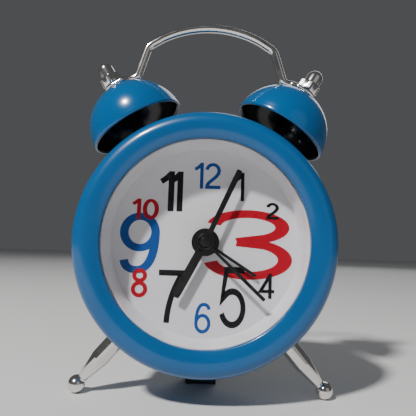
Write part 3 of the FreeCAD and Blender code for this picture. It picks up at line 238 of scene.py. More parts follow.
# %% Plated metals
def plated(name, colour, roughness, lines=0.00001):
    metal = Finish(name, Metallic=1.0)
    smear = metal.noise(180.0, 3.0)
    along = metal.node("ShaderNodeMapping", None, Vector=metal.place(), Scale=(4000.0, 4000.0, 260.0))
    hair = metal.noise(1.0, 2.0, along)
    metal.set(Base_Color=metal.blend(metal.between(smear, 0.0, 1.0), shade(colour, 0.9), colour),
              Roughness=metal.between(smear, roughness * 0.7, roughness * 1.5),
              Normal=metal.bump(hair, lines, 0.12))
    return metal.material


nickel = plated("bright_nickel", (0.86, 0.83, 0.79), 0.13)
zinc = plated("zinc_plate", (0.62, 0.62, 0.64), 0.3)
tin_can = plated("bright_can", (0.80, 0.80, 0.81), 0.16)
brass = plated("rolled_brass", (0.80, 0.60, 0.26), 0.28)
copper = plated("enamelled_copper", (0.72, 0.27, 0.12), 0.3)
magnet = plated("sintered_magnet", (0.16, 0.16, 0.17), 0.5)

# %% [markdown]
# ## Plastics, lacquer, card and ink
# Moulded plastic gets its character from the mould: a fine even grain on the matt cover, almost
# none on the white wall round the dial. The black hands are lacquered tin. The dial is coated
# card, and each ink lies on it as a thin film with slightly uneven cover.

# %% Plastics
def moulded(name, colour, roughness, grain, depth, shine=0.5):
    plastic = Finish(name, Specular_IOR_Level=shine)
    cloud = plastic.noise(90.0, 2.0)
    texture = plastic.noise(grain, 1.0)
    plastic.set(
        Base_Color=plastic.blend(plastic.between(cloud, 0.0, 1.0), shade(colour, 0.94), shade(colour, 1.05)),
        Roughness=plastic.between(cloud, roughness * 0.9, roughness * 1.12),
        Normal=plastic.bump(texture, depth, 0.5))
    return plastic.material


cover_plastic = moulded("cover_plastic", (0.017, 0.017, 0.019), 0.48, 3800.0, 0.00002)
knob_plastic = moulded("knob_plastic", (0.013, 0.013, 0.014), 0.3, 2500.0, 0.000008)
wall_plastic = moulded("reflector_plastic", (0.80, 0.80, 0.83), 0.22, 900.0, 0.000006)
frame_plastic = moulded("movement_plastic", (0.70, 0.70, 0.66), 0.45, 2600.0, 0.00001)
wheel_plastic = moulded("wheel_plastic", (0.82, 0.79, 0.70), 0.35, 2600.0, 0.000006)
board_lacquer = moulded("board_lacquer", (0.02, 0.15, 0.055), 0.3, 1600.0, 0.00001)
resin = moulded("chip_resin", (0.012, 0.012, 0.012), 0.35, 500.0, 0.00003)
lacquer = moulded("hand_lacquer", (0.006, 0.006, 0.007), 0.34, 3000.0, 0.000006, 0.4)
black_gloss = moulded("bell_lining", (0.006, 0.006, 0.007), 0.16, 700.0, 0.00001)
pillar_black = moulded("pillar_lacquer", (0.008, 0.008, 0.009), 0.25, 900.0, 0.000006)


# %% Card and ink
def card(name, colour):
    paper = Finish(name, Roughness=0.42, Specular_IOR_Level=0.4)
    cloud = paper.noise(110.0, 3.0)
    fibre = paper.noise(4200.0, 2.0)
    mottled = paper.blend(paper.between(cloud, 0.0, 1.0), shade(colour, 0.975), colour)
    paper.set(Base_Color=mottled, Normal=paper.bump(fibre, 0.000006, 0.25))
    return paper.material


def ink(name, colour):
    film = Finish(name, Roughness=0.5, Specular_IOR_Level=0.25)
    cover = film.noise(2200.0, 3.0)
    film.set(Base_Color=film.blend(film.between(cover, 0.0, 1.0), shade(colour, 0.86), shade(colour, 1.1)))
    return film.material


dial_card = card("dial_card", (0.74, 0.73, 0.765))
INKS = {
    "blue": ink("ink_blue", (0.004, 0.07, 0.3)),
    "red": ink("ink_red", (0.42, 0.0, 0.014)),
    "black": ink("ink_black", (0.004, 0.004, 0.005)),
}

# %% [markdown]
# ## A clear lens
# The window is a thin flat disc of clear acrylic. Real refraction would make the dial noisy and
# dark, and a flat sheet hardly bends the view, so the lens is mostly see-through and only gains
# its shine towards a glancing angle, as clear plastic does.

# %% Lens finish
clear = Finish("clear_acrylic", Base_Color=(0.01, 0.012, 0.014, 1.0), Roughness=0.05, IOR=1.49,
               Specular_IOR_Level=1.0)
glance = clear.node("ShaderNodeLayerWeight", out="Facing")
glance = glance * glance
clear.set(Alpha=0.03 + glance * glance * 0.7)
clear_acrylic = clear.material

# %% [markdown]
# ## Turned parts and rounded corners
# No machined or moulded edge is razor sharp, and the small round on each edge is what catches
# the light. `rounded` swaps the corners of an outline for arcs, and `lathe` spins an outline
# about z like a turner's lathe, with a single point where it meets the axis.

# %% Outlines
def arc(cx, cy, radius, start, end, steps=12):
    """Points on an arc, angles in degrees."""
    turns = [math.radians(start + (end - start) * k / steps) for k in range(steps + 1)]
    return [(cx + radius * math.cos(t), cy + radius * math.sin(t)) for t in turns]


def rounded(corners, steps=4):
    """An outline whose corners given as (x, y, radius) become arcs."""
    points = []
    for i, corner in enumerate(corners):
        here = Vector(corner[:2])
        if len(corner) < 3:
            points.append(tuple(here))
            continue
        before = (Vector(corners[i - 1][:2]) - here)
        after = (Vector(corners[(i + 1) % len(corners)][:2]) - here)
        half = before.angle(after) / 2
        reach = min(corner[2] / math.tan(half), before.length * 0.49, after.length * 0.49)
        start, end = here + before.normalized() * reach, here + after.normalized() * reach
        middle = here + (before.normalized() + after.normalized()).normalized() * reach / math.cos(half)
        first, last = start - middle, end - middle
        turn = -first.angle_signed(last)
        for k in range(steps + 1):
            spoke_now = Matrix.Rotation(turn * k / steps, 2) @ first
            points.append(tuple(middle + spoke_now))
    return points


def lathe(outline, steps=144):
    """Vertices and faces of a closed outline of (radius, height) spun about z."""
    points, rings, faces = [], [], []
    for radius, height in outline:
        if radius < 1e-6:
            rings.append([len(points)] * steps)
            points.append((0.0, 0.0, height))
            continue
        rings.append(list(range(len(points), len(points) + steps)))
        for k in range(steps):
            turn = 2 * math.pi * k / steps
            points.append((radius * math.cos(turn), radius * math.sin(turn), height))
    for one, two in zip(rings, rings[1:] + rings[:1]):
        for k in range(steps):
            n = (k + 1) % steps
            loop = list(dict.fromkeys((one[k], one[n], two[n], two[k])))
            if len(loop) > 2:
                faces.append(loop)
    return points, faces


# %% [markdown]
# ## From points to a finished piece
# Every piece ends the same way: its place goes into the mesh, its normals face outwards, flat
# and curved faces are told apart by angle, and it rides on a body of the frame. It then stands
# for the plain nodes that it replaces.

# %% Finishing a piece
def mesh_of(name, points, faces, place):
    mesh = bpy.data.meshes.new(name)
    mesh.from_pydata([place @ Vector(point) for point in points], [], faces)
    return mesh


def settle(name, mesh, body, materials, replaces=(), sharp=32.0):
    """Makes a clean object of a mesh, gives it its finish and lets it ride on a body."""
    shell = bmesh.new()
    shell.from_mesh(mesh)
    bmesh.ops.remove_doubles(shell, verts=shell.verts, dist=1e-7)
    bmesh.ops.recalc_face_normals(shell, faces=shell.faces)
    shell.to_mesh(mesh)
    shell.free()
    mesh.shade_smooth()
    mesh.set_sharp_from_angle(angle=math.radians(sharp))
    for material in materials:
        mesh.materials.append(material)
    piece = bpy.data.objects.new(name, mesh)
    bpy.context.scene.collection.objects.link(piece)
    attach(piece, body)
    if replaces:
        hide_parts(*replaces)
    print(name, len(mesh.polygons), "faces on", body)
    return piece


def turned_piece(name, outline, place, body, material, replaces=(), steps=144):
    points, faces = lathe(outline, steps)
    return settle(name, mesh_of(name, points, faces, place), body, [material], replaces)


# %% [markdown]
# ## The front ring
# The ring is spun from sheet: a nearly straight skirt, a full round at the outer edge, a gently
# crowned face and a lip that turns in over the lens. It is one outline on the lathe, with the
# same radii as the working model.

# %% Front ring
EDGE = 2.8
CROWN = 9.0
WINDOW = 22.7
LENS_FRONT = 7.4
LENS_BACK = 6.2
RIM_BACK = -0.8
WALL = 0.8
bend = RING_RADIUS - EDGE
crown_low = RING_FRONT - CROWN
face = [(bend - reach, crown_low + math.sqrt(CROWN ** 2 - reach ** 2))
        for reach in ((bend - WINDOW - 0.35) * k / 10 for k in range(1, 11))]
lip = face[-1][1]
ring_outline = (
    [(RING_RADIUS - WALL / 2 - 0.12, RIM_BACK), (RING_RADIUS - WALL / 2, RIM_BACK + 0.12)]
    + arc(bend, RING_FRONT - EDGE, EDGE, 0, 90, 18) + face
    + arc(WINDOW + 0.35, lip - 0.36, 0.35, 80, 180, 6)
    + [(WINDOW, LENS_FRONT), (WINDOW + 2.2, LENS_FRONT), (bend, RING_FRONT - WALL)]
    + arc(bend, RING_FRONT - EDGE, EDGE - WALL, 80, 0, 6)
    + [(RING_RADIUS - 1.5 * WALL, RIM_BACK)])
turned_piece("front_ring", ring_outline, DIAL, "case", ring_paint, ["bezel_ring"], 192)

# %% [markdown]
# ## Lens, white wall and dial
# Behind the lip lie a clear disc, a white moulded wall that reflects light on to the dial, and
# the dial itself. All three are turned shapes, and the small rounds keep their edges soft.

# %% Lens, wall and dial
LENS_RADIUS = 24.6
SIGHT = 21.9
DIAL_RADIUS = 25.6
HOLE = 2.4
turned_piece("window_lens", rounded([
    (0, LENS_BACK), (LENS_RADIUS, LENS_BACK, 0.15), (LENS_RADIUS, LENS_FRONT, 0.15), (0, LENS_FRONT)]),
    DIAL, "case", clear_acrylic, ["lens"])
turned_piece("reflector_wall", rounded([
    (SIGHT, 0.02), (DIAL_RADIUS, 0.02), (DIAL_RADIUS, 1.0, 0.2), (LENS_RADIUS, 1.0, 0.3),
    (LENS_RADIUS, LENS_BACK, 0.2), (WINDOW, LENS_BACK, 0.25)]),
    DIAL, "case", wall_plastic, ["reflector_ring"], 192)
turned_piece("dial_disc", rounded([
    (HOLE, -0.5), (DIAL_RADIUS, -0.5, 0.08), (DIAL_RADIUS, 0.0, 0.08), (HOLE, 0.0, 0.05)]),
    DIAL, "case", dial_card, ["dial_plate"], 192)

# %% [markdown]
# ## Numbers drawn with a flat pen
# The dial has playful numbers: each has its own height, width, weight and colour, and the
# biggest is a normal 3 stretched sideways. They are generic figures drawn here as pen strokes
# in a box one unit high, then stretched to their size, so a stretched number gets the thick and
# thin strokes that it should. A ribbon of ink follows each stroke.

# %% Pen strokes
def bezier(a, b, c, d, steps=14):
    """Points on a cubic curve."""
    points = []
    for k in range(steps + 1):
        t = k / steps
        weights = ((1 - t) ** 3, 3 * t * (1 - t) ** 2, 3 * t * t * (1 - t), t ** 3)
        points.append(tuple(sum(w * p[axis] for w, p in zip(weights, (a, b, c, d))) for axis in (0, 1)))
    return points


def oval(cx, cy, rx, ry, start=0, end=360, steps=28):
    turns = [math.radians(start + (end - start) * k / steps) for k in range(steps + 1)]
    return [(cx + rx * math.cos(t), cy + ry * math.sin(t)) for t in turns]


def figure(sign, pen, width=0.56):
    """Centre lines of a figure one unit high, for a pen of that width."""
    half = pen / 2
    left, right, low, high = half, width - half, half, 1 - half
    mid = width / 2
    reach = mid - half
    if sign == "0":
        return [oval(mid, 0.5, reach, 0.5 - half)]
    if sign == "1":
        flag = bezier((half * 0.4, 0.735), (mid * 0.6, 0.78), (right - half, 0.86),
                      (right - half * 0.4, high))
        return [flag, [(right, 0.0), (right, 1.0)]]
    if sign == "2":
        bow = oval(mid, 0.7, reach, 0.3 - half, 172, -28, 22)
        tail = bezier(bow[-1], (mid * 1.35, 0.38), (left, 0.26), (left + half * 0.2, low), 10)
        return [bow + tail[1:] + [(width, low)]]
    if sign == "3":
        top = oval(mid, 0.755, reach * 0.92, 0.245 - half, 172, -58, 22)
        bottom = oval(mid, 0.29, reach, 0.29 - half, 62, -168, 24)
        return [top + [(mid * 0.75, 0.535)], [(mid * 0.75, 0.53)] + bottom]
    if sign == "4":
        return [[(width * 0.72, high), (left, 0.3 - half * 0.2), (width, 0.3 - half * 0.2)],
                [(width * 0.72, 0.0), (width * 0.72, 1.0)]]
    if sign == "5":
        bowl = oval(mid, 0.325, reach, 0.325 - half, 140, -160, 26)
        return [[(width * 0.94, high), (width * 0.26, high), (left + half * 0.3, 0.46)] + bowl[1:]]
    if sign == "6":
        rise = bezier((left, 0.33), (left, 0.78), (mid * 0.62, high), (mid * 1.1, high), 14)
        hook = bezier((mid * 1.1, high), (right - half, high), (right - half * 0.4, 0.86),
                      (right - half * 0.2, 0.78), 8)
        return [rise + hook[1:], oval(mid, 0.32, reach, 0.32 - half)]
    if sign == "7":
        return [[(0.0, high), (right, high)] + bezier((right - half, high - half), (mid * 1.1, 0.66),
                                                     (mid * 0.72, 0.36), (mid * 0.66, 0.0), 14)]
    if sign == "8":
        return [oval(mid, 0.755, reach * 0.88, 0.245 - half), oval(mid, 0.285, reach, 0.285 - half)]
    if sign == "9":
        return [[(width - x, 1 - y) for x, y in line] for line in figure("6", pen, width)]
    raise ValueError(sign)


def ribbon(line, half):
    """Left and right edges of a flat pen stroke, mitred at its corners."""
    closed = math.dist(line[0], line[-1]) < 1e-6
    path = line[:-1] if closed else line
    count = len(path)
    lefts, rights = [], []
    for i, (x, y) in enumerate(path):
        before = path[i - 1] if closed or i else None
        after = path[(i + 1) % count] if closed or i < count - 1 else None
        runs = [Vector((x - before[0], y - before[1])).normalized()] if before else []
        runs += [Vector((after[0] - x, after[1] - y)).normalized()] if after else []
        normals = [Vector((-run.y, run.x)) for run in runs]
        total = sum(normals[1:], normals[0].copy())
        shift = total * half * (len(normals) if len(normals) == 1 else 2) / max(total.length_squared, 0.5)
        lefts.append((x + shift.x, y + shift.y))
        rights.append((x - shift.x, y - shift.y))
    return lefts, rights, closed


def stroke_slab(line, half, low, high):
    """Vertices and faces of a stroke as a thin closed slab."""
    lefts, rights, closed = ribbon(line, half)
    count = len(lefts)
    flat = lefts + rights
    points = [(x, y, high) for x, y in flat] + [(x, y, low) for x, y in flat]
    base, faces = 2 * count, []
    for i in range(count if closed else count - 1):
        n = (i + 1) % count
        faces.append((i, n, count + n, count + i))
        faces.append((base + n, base + i, base + count + i, base + count + n))
        faces.append((i, base + i, base + n, n))
        faces.append((count + n, base + count + n, base + count + i, count + i))
    if not closed:
        for i, ends in ((0, (0, count)), (count - 1, (count - 1, 2 * count - 1))):
            faces.append((ends[0], ends[1], base + ends[1], base + ends[0]))
    return points, faces


# %% [markdown]
# The table below is the dial's design: which figure, where its middle is, how wide and high it
# is, how heavy the pen is and which ink, and in which order the inks were printed.

# %% Numbers on the dial
FILM = 0.03
NUMBERS = [
    # name, signs with their own middle x and width, middle y, height, pen, ink, print order
    ("twelve", (("1", -2.02, 2.2), ("2", 1.3, 3.7)), 15.7, 6.2, 0.125, "blue", 0),
    ("one", (("1", 7.75, 2.1),), 13.3, 6.8, 0.13, "black", 1),
    ("two", (("2", 15.55, 3.0),), 7.8, 3.9, 0.15, "black", 2),
    ("three", (("3", 9.9, 20.8),), -0.25, 16.2, 0.114, "red", 0),
    ("four", (("4", 14.45, 3.6),), -9.65, 5.7, 0.12, "black", 2),
    ("five", (("5", 6.6, 6.2),), -12.45, 13.9, 0.105, "black", 1),
    ("six", (("6", -0.1, 3.7),), -17.3, 6.9, 0.112, "blue", 0),
    ("seven", (("7", -7.3, 6.4),), -12.6, 12.0, 0.112, "black", 0),
    ("eight", (("8", -14.9, 3.75),), -9.75, 6.6, 0.138, "red", 1),
    ("nine", (("9", -15.3, 9.3),), -0.6, 14.1, 0.12, "blue", 0),
    ("ten", (("1", -16.35, 2.1), ("0", -13.0, 3.8)), 7.35, 4.8, 0.15, "red", 1),
    ("eleven", (("1", -9.4, 3.4), ("1", -7.3, 3.3)), 11.75, 9.5, 0.14, "black", 0),
]
NATURAL_WIDTH = {"1": 0.34, "3": 0.72}
for word, signs, middle_y, height, pen, colour, order in NUMBERS:
    points, faces = [], []
    for number, (sign, middle_x, width) in enumerate(signs):
        natural = NATURAL_WIDTH.get(sign, 0.56)
        for layer, line in enumerate(figure(sign, pen, natural)):
            top = FILM * (1 + order) + 0.004 * (layer + 2 * number)
            some, loops = stroke_slab(line, pen / 2, 0.0, top)
            start = len(points)
            points += [((x / natural - 0.5) * width + middle_x, (y - 0.5) * height + middle_y, z)
                       for x, y, z in some]
            faces += [tuple(start + corner for corner in loop) for loop in loops]
    settle("number_" + word, mesh_of(word, points, faces, DIAL), "case", [INKS[colour]],
           (), 60.0)

# %% [markdown]
# ## Hands
# The hands are stamped from thin sheet, so their edges are slightly rolled by the die. Each is
# an outline with a round boss, given thickness and a narrow chamfer. Each rides on its own
# arbor's body, so that it turns with its wheels.

# %% Hands
def stamped(outline, low, high, edge):
    """A flat sheet piece with a small chamfer along its upper edge."""
    count = len(outline)
    inner = inset(outline, edge)
    points = [(x, y, low) for x, y in outline] + [(x, y, high - edge) for x, y in outline]
    points += [(x, y, high) for x, y in inner]
    faces = [tuple(range(count - 1, -1, -1)), tuple(range(2 * count, 3 * count))]
    for layer in (0, count):
        for i in range(count):
            n = (i + 1) % count
            faces.append((layer + i, layer + n, layer + count + n, layer + count + i))
    return points, faces


def inset(outline, by):
    """An outline moved inwards by a small distance; it runs anticlockwise."""
    moved = []
    for i, (x, y) in enumerate(outline):
        before, after = Vector(outline[i - 1]), Vector(outline[(i + 1) % len(outline)])
        here = Vector((x, y))
        one, two = (here - before).normalized(), (after - here).normalized()
        shift = Vector((-one.y, one.x)) + Vector((-two.y, two.x))
        shift *= by * 2 / max(shift.length_squared, 0.8)
        moved.append((x + shift.x, y + shift.y))
    return moved


def hand_outline(root, belly, tip, length, belly_at):
    """Right side up, rounded tip, left side down."""
    corners = [(root, 0.0), (belly, length * belly_at), (tip, length, tip * 0.5),
               (-tip, length, tip * 0.5), (-belly, length * belly_at), (-root, 0.0)]
    return rounded(corners, 3)


SHEET = 0.3
HANDS = [
    # name, body, node, bearing, length, height, half widths root/belly/tip, belly at, boss
    ("alarm_pointer", "alarm", "alarm_hand", 122.2, 13.9, 1.1, (0.34, 0.36, 0.34), 0.8, 3.2),
    ("hour_pointer", "hours", "hour_hand", 207.6, 14.1, 2.0, (1.0, 1.0, 0.9), 0.9, 2.7),
    ("minute_pointer", "minutes", "minute_hand", 23.9, 18.3, 2.9, (0.58, 0.65, 0.6), 0.85, 2.3),
    ("second_pointer", "seconds", "second_hand", 132.9, 18.4, 3.7, (0.26, 0.41, 0.4), 0.55, 1.84),
]
for name, body, node, bearing, length, height, halves, belly_at, boss in HANDS:
    place = DIAL @ Matrix.Rotation(-math.radians(bearing), 4, "Z")
    points, faces = stamped(hand_outline(*halves, length, belly_at), height, height + SHEET, 0.06)
    disc_top = height + SHEET + 0.02
    cap = [(0, height), (boss, height), (boss, disc_top - 0.08), (boss - 0.08, disc_top), (0, disc_top)]
    if body == "seconds":
        rim, dome_top = height + 0.5, height + 0.7
        cap = rounded([(0, height), (boss, height), (boss, rim, 0.14), (boss - 0.3, rim, 0.08),
                       (boss - 0.42, height + SHEET), (1.3, height + SHEET), (1.2, dome_top - 0.05, 0.1),
                       (0, dome_top)])
    disc_points, disc_faces = lathe(cap, 64)
    start = len(points)
    points += disc_points
    faces += [tuple(start + corner for corner in loop) for loop in disc_faces]
    settle(name, mesh_of(name, points, faces, place), body, [lacquer], [node])

# %% [markdown]
# ## The drum
# Behind the ring is a drawn steel drum. Its front flange hides inside the ring, and two shallow
# rolled grooves stiffen its back edge, so the outline has them as small dips.

# %% Drum
DRUM, DRUM_INNER, DRUM_BACK = 26.5, 25.9, -15.0
FLANGE, FLANGE_HALF = 27.8, 0.4
GROOVE_MIDDLES, GROOVE_DEPTH = (-13.4, -12.6), 0.14
grooves = []
for middle in GROOVE_MIDDLES:
    grooves += [(DRUM, middle - 0.3), (DRUM - GROOVE_DEPTH, middle - 0.12),
                (DRUM - GROOVE_DEPTH, middle + 0.12), (DRUM, middle + 0.3)]
drum_outline = ([(DRUM - 0.1, DRUM_BACK), (DRUM, DRUM_BACK + 0.1)] + grooves
                + [(DRUM, -0.55), (DRUM + 0.15, -FLANGE_HALF), (FLANGE, -FLANGE_HALF),
                   (FLANGE, FLANGE_HALF), (DRUM_INNER, FLANGE_HALF), (DRUM_INNER, DRUM_BACK)])
turned_piece("case_shell", drum_outline, DIAL, "case", drum_paint, ["case_drum"], 192)

# %% [markdown]
# ## Bells
# Each bell is a thin dome with a small rolled lip at its mouth. It is blue outside and has a
# glossy black lining, so one mesh carries two finishes, told apart by how far a face lies from
# the middle of the dome.

# %% Bells
BELL = 11.9
BELL_WALL = 0.7
BELL_REACH = 33.0
STUD_HOLE = 1.05


def dome(radius, start, end, steps):
    return arc(0.0, BELL_REACH, radius, start, end, steps)


hole_angle = math.degrees(math.acos(STUD_HOLE / BELL))
inner_angle = math.degrees(math.acos(STUD_HOLE / (BELL - BELL_WALL)))
bell_outline = (dome(BELL, 4.0, hole_angle, 40) + dome(BELL - BELL_WALL, inner_angle, 3.0, 36)
                + rounded([(BELL - BELL_WALL, BELL_REACH, 0.2), (BELL, BELL_REACH, 0.3),
                           (BELL, BELL_REACH + 0.8, 0.05)])[:11])
for side, word in ((-1, "left"), (1, "right")):
    place = spoke(side * BELL_TILT, BELL_DEPTH)
    points, faces = lathe(bell_outline, 128)
    bell = settle(f"{word}_bell_dome", mesh_of(word, points, faces, place), "case",
                  [bell_paint, black_gloss], [f"{word}_bell"])
    middle = place @ Vector((0, 0, BELL_REACH))
    for polygon in bell.data.polygons:
        away = (polygon.center - middle).length / MM
        polygon.material_index = 1 if away < BELL - BELL_WALL + 0.15 else 0

# %% [markdown]
# ## Pillars, legs and cap nuts
# These are all turned parts on the spokes. A pillar is a black tube with a collar at each end,
# a leg is a bar that tapers to a neck and ends in a ball, and a cap nut is a hexagon whose
# corners are cut by a cone, under a polished dome.

# %% Pillars and legs
PILLAR, PILLAR_WAIST, ROD = 1.8, 1.55, 1.0
LEG, LEG_INSIDE, TAPER = 2.15, 23.5, 7.8
LEG_BALL, BALL, NECK = 44.2, 2.012, 1.1
for side, word in ((-1, "left"), (1, "right")):
    top = BELL_REACH + math.sqrt((BELL - BELL_WALL) ** 2 - PILLAR ** 2)
    turned_piece(f"{word}_pillar", rounded([
        (ROD, DRUM), (PILLAR, DRUM), (PILLAR, DRUM + 0.9, 0.2), (PILLAR_WAIST, DRUM + 1.3, 0.2),
        (PILLAR_WAIST, top - 1.3, 0.2), (PILLAR, top - 0.9, 0.2), (PILLAR, top), (ROD, top)]),
        spoke(side * BELL_TILT, BELL_DEPTH), "case", pillar_black,
        [f"{word}_bell_pillar"], 48)
    neck = LEG_BALL - math.sqrt(BALL ** 2 - NECK ** 2)
    turn = math.degrees(math.acos(NECK / BALL))
    leg_outline = (
        rounded([(0, LEG_INSIDE), (ROD, LEG_INSIDE, 0.2), (ROD, DRUM), (LEG, DRUM, 0.1),
                 (LEG, DRUM + 0.7, 0.1), (LEG - 0.15, DRUM + 0.85), (LEG - 0.15, DRUM + 1.05),
                 (LEG, DRUM + 1.2, 0.1), (LEG, LEG_BALL - TAPER, 1.2), (NECK, neck, 0.05)])
        + arc(0, LEG_BALL, BALL, -turn + 2.0, 90, 24))
    leg_outline[-1] = (0.0, leg_outline[-1][1])
    turned_piece(f"{word}_front_leg", leg_outline, spoke(side * LEG_TILT, LEG_DEPTH), "case",
                 nickel, [f"{word}_leg"], 64)

# %% Cap nuts
CROWN_SEAT = BELL_REACH + math.sqrt(BELL ** 2 - STUD_HOLE ** 2)
STRIP = 1.05
NUT_BASE = CROWN_SEAT + STRIP
NUT_FLATS, NUT_HEX, NUT_LENGTH = 5.2, 2.4, 6.3
NUT_DOME, DOME_START = 2.05, 4.25


def hexagon_radius(turn, flats):
    """Distance to a hexagon's side in a direction."""
    return flats / 2 / math.cos((turn + math.pi / 6) % (math.pi / 3) - math.pi / 6)


def cap_nut(base, steps=96):
    """Vertices and faces of a domed nut: each ring is the smaller of the hexagon and a cone."""
    widest = NUT_FLATS / 2 / math.cos(math.pi / 6)
    rings = [(widest - 0.45, base), (widest + 0.01, base + 0.28), (widest + 0.01, base + 2.0),
             (widest - 0.55, base + NUT_HEX), (2.12, base + 2.42), (NUT_DOME, base + 2.5),
             (NUT_DOME, base + DOME_START)]
    rings += arc(0, base + DOME_START, NUT_DOME, 10, 80, 9)
    points, faces = [], [tuple(range(steps - 1, -1, -1))]
    for radius, height in rings:
        for k in range(steps):
            turn = 2 * math.pi * k / steps
            reach = min(radius, hexagon_radius(turn, NUT_FLATS)) if height < base + 2.41 else radius
            points.append((reach * math.cos(turn), reach * math.sin(turn), height))
    for layer in range(len(rings) - 1):
        for k in range(steps):
            n = (k + 1) % steps
            faces.append((layer * steps + k, layer * steps + n, (layer + 1) * steps + n,
                          (layer + 1) * steps + k))
    points.append((0.0, 0.0, base + NUT_LENGTH))
    last = (len(rings) - 1) * steps
    faces += [(last + k, last + (k + 1) % steps, len(points) - 1) for k in range(steps)]
    return points, faces


caps = bpy.data.meshes.new("caps")
cap_points, cap_faces = [], []
for side in (-1, 1):
    points, faces = cap_nut(NUT_BASE)
    start = len(cap_points)
    cap_points += [spoke(side * BELL_TILT, BELL_DEPTH) @ Vector(point) for point in points]
    cap_faces += [tuple(start + corner for corner in loop) for loop in faces]
caps.from_pydata(cap_points, [], cap_faces)
settle("cap_nuts", caps, "case", [nickel], ["acorn_nuts"], 28.0)

# %% [markdown]
# ## The handle, swept by Geometry Nodes
# The handle is one round wire: it follows each bell, rises, and joins a long top arc, and its
# ends are hammered flat to take the studs. A section that follows a path is a job for Curve to
# Mesh. The path is drawn here from its bends. The tree sweeps a circle along it, then presses
# the ends flat, lets them spread, and rounds them in plan, as the hammer and the die would.

# %% The handle's path
WIRE = 1.05
GAP = 0.2
TAB_OVER, WIRE_START, BEND_REACH = 2.8, 3.9, 5.96
RISER, LEAN, GRIP = 8.83, 16.65, 26.64
LOWER_BEND, UPPER_BEND = 1.8, 3.2


def polar(radius, bearing):
    return Vector((radius * math.sin(math.radians(bearing)), radius * math.cos(math.radians(bearing))))


def by_stud(inwards, reach):
    """A point at a distance along the tab from the stud, and out from the dial's axis."""
    return polar(reach, BELL_TILT) - polar(inwards, BELL_TILT + 90)


def over_bell(inwards):
    return by_stud(inwards, BELL_REACH + math.sqrt((BELL + GAP + WIRE) ** 2 - inwards ** 2))


lower = over_bell(BEND_REACH)
upper = lower + polar(RISER, -LEAN)
grip_centre = Vector((0.0, upper.y - math.sqrt(GRIP ** 2 - upper.x ** 2)))
swing = math.degrees(math.asin(upper.x / GRIP))
approach = grip_centre + polar(GRIP, swing - 9.0)
flat_middle = CROWN_SEAT + STRIP / 2
right_run = ([by_stud(-TAB_OVER, flat_middle), by_stud(1.5, flat_middle)]
             + [Vector(p) for p in rounded([
                 tuple(over_bell(WIRE_START)), (*lower, LOWER_BEND), (*upper, UPPER_BEND),
                 tuple(approach)], 10)])
top_run = [grip_centre + polar(GRIP, (swing - 9.0) * (1 - k / 24)) for k in range(1, 24)]
left_run = [Vector((-spot.x, spot.y)) for spot in reversed(right_run + top_run)]
path = right_run + top_run + [grip_centre + polar(GRIP, 0.0)] + left_run
print("handle path", len(path), "points, top", round(max(spot.y for spot in path) + WIRE, 2))


# %% Helpers for geometry trees
def open_tree(name, inputs):
    """An empty geometry tree with named inputs (name, socket type), and its sockets by name."""
    tree = bpy.data.node_groups.new(name, "GeometryNodeTree")
    tree.interface.new_socket("Geometry", in_out="INPUT", socket_type="NodeSocketGeometry")
    for title, kind in inputs:
        tree.interface.new_socket(title, in_out="INPUT", socket_type=kind)
    tree.interface.new_socket("Geometry", in_out="OUTPUT", socket_type="NodeSocketGeometry")
    entry = tree.nodes.new("NodeGroupInput")
    return tree, {socket.name: Link(tree, socket) for socket in entry.outputs if socket.name}


def close_tree(tree, geometry, finish):
    """Makes instances real, gives the finish and joins the tree's output."""
    real = make(tree, "GeometryNodeRealizeInstances", None, geometry)
    done = make(tree, "GeometryNodeSetMaterial", None, real, Material=finish)
    leave = tree.nodes.new("NodeGroupOutput")
    tree.links.new(done.socket, leave.inputs[0])


def grown(name, base_mesh, tree, **values):
    """The plain mesh that a tree makes of a base mesh, in millimetres of the dial's frame."""
    carrier = bpy.data.objects.new(name + "_carrier", base_mesh)
    bpy.context.scene.collection.objects.link(carrier)
    modifier = carrier.modifiers.new("Tree", "NODES")
    modifier.node_group = tree
    for item in tree.interface.items_tree:
        if item.in_out == "INPUT" and item.name.replace(" ", "_") in values:
            modifier[item.identifier] = values[item.name.replace(" ", "_")]
    evaluated = carrier.evaluated_get(bpy.context.evaluated_depsgraph_get())
    mesh = bpy.data.meshes.new_from_object(evaluated)
    bpy.data.objects.remove(carrier)
    return mesh


def points_mesh(name, points, edges=()):
    mesh = bpy.data.meshes.new(name)
    mesh.from_pydata(points, list(edges), [])
    return mesh


FLOAT, WHOLE, STUFF = "NodeSocketFloat", "NodeSocketInt", "NodeSocketMaterial"

# %% The wire's tree
tree, into = open_tree("flattened_wire", [
    ("Radius", FLOAT), ("Flat thickness", FLOAT), ("Flat width", FLOAT), ("Flat length", FLOAT),
    ("Flare", FLOAT), ("Finish", STUFF)])
line = make(tree, "GeometryNodeMeshToCurve", None, into["Geometry"])
line = make(tree, "GeometryNodeResampleCurve", {"mode": "LENGTH"}, line, Length=0.3)
travel = make(tree, "GeometryNodeSplineParameter", out="Length")
whole = make(tree, "GeometryNodeSplineLength", out="Length")
hold = tree.nodes.new("GeometryNodeCaptureAttribute")
hold.capture_items.new("FLOAT", "From end")
hold.capture_items.new("VECTOR", "Centre")
tree.links.new(line.socket, hold.inputs["Geometry"])
tree.links.new(travel.least(whole - travel).socket, hold.inputs["From end"])
tree.links.new(make(tree, "GeometryNodeInputPosition").socket, hold.inputs["Centre"])
circle = make(tree, "GeometryNodeCurvePrimitiveCircle", None, Resolution=24, Radius=into["Radius"])
swept = make(tree, "GeometryNodeCurveToMesh", None, Link(tree, hold.outputs["Geometry"]), circle,
             Fill_Caps=True)
from_end, centre = (Link(tree, hold.outputs[name]) for name in ("From end", "Centre"))
offset = make(tree, "ShaderNodeVectorMath", {"operation": "SUBTRACT"},
              make(tree, "GeometryNodeInputPosition"), centre)
sideways, upright, depth = (make(tree, "ShaderNodeSeparateXYZ", None, offset, out=k) for k in range(3))
round_share = ((from_end - into["Flat length"]) / into["Flare"]).held()
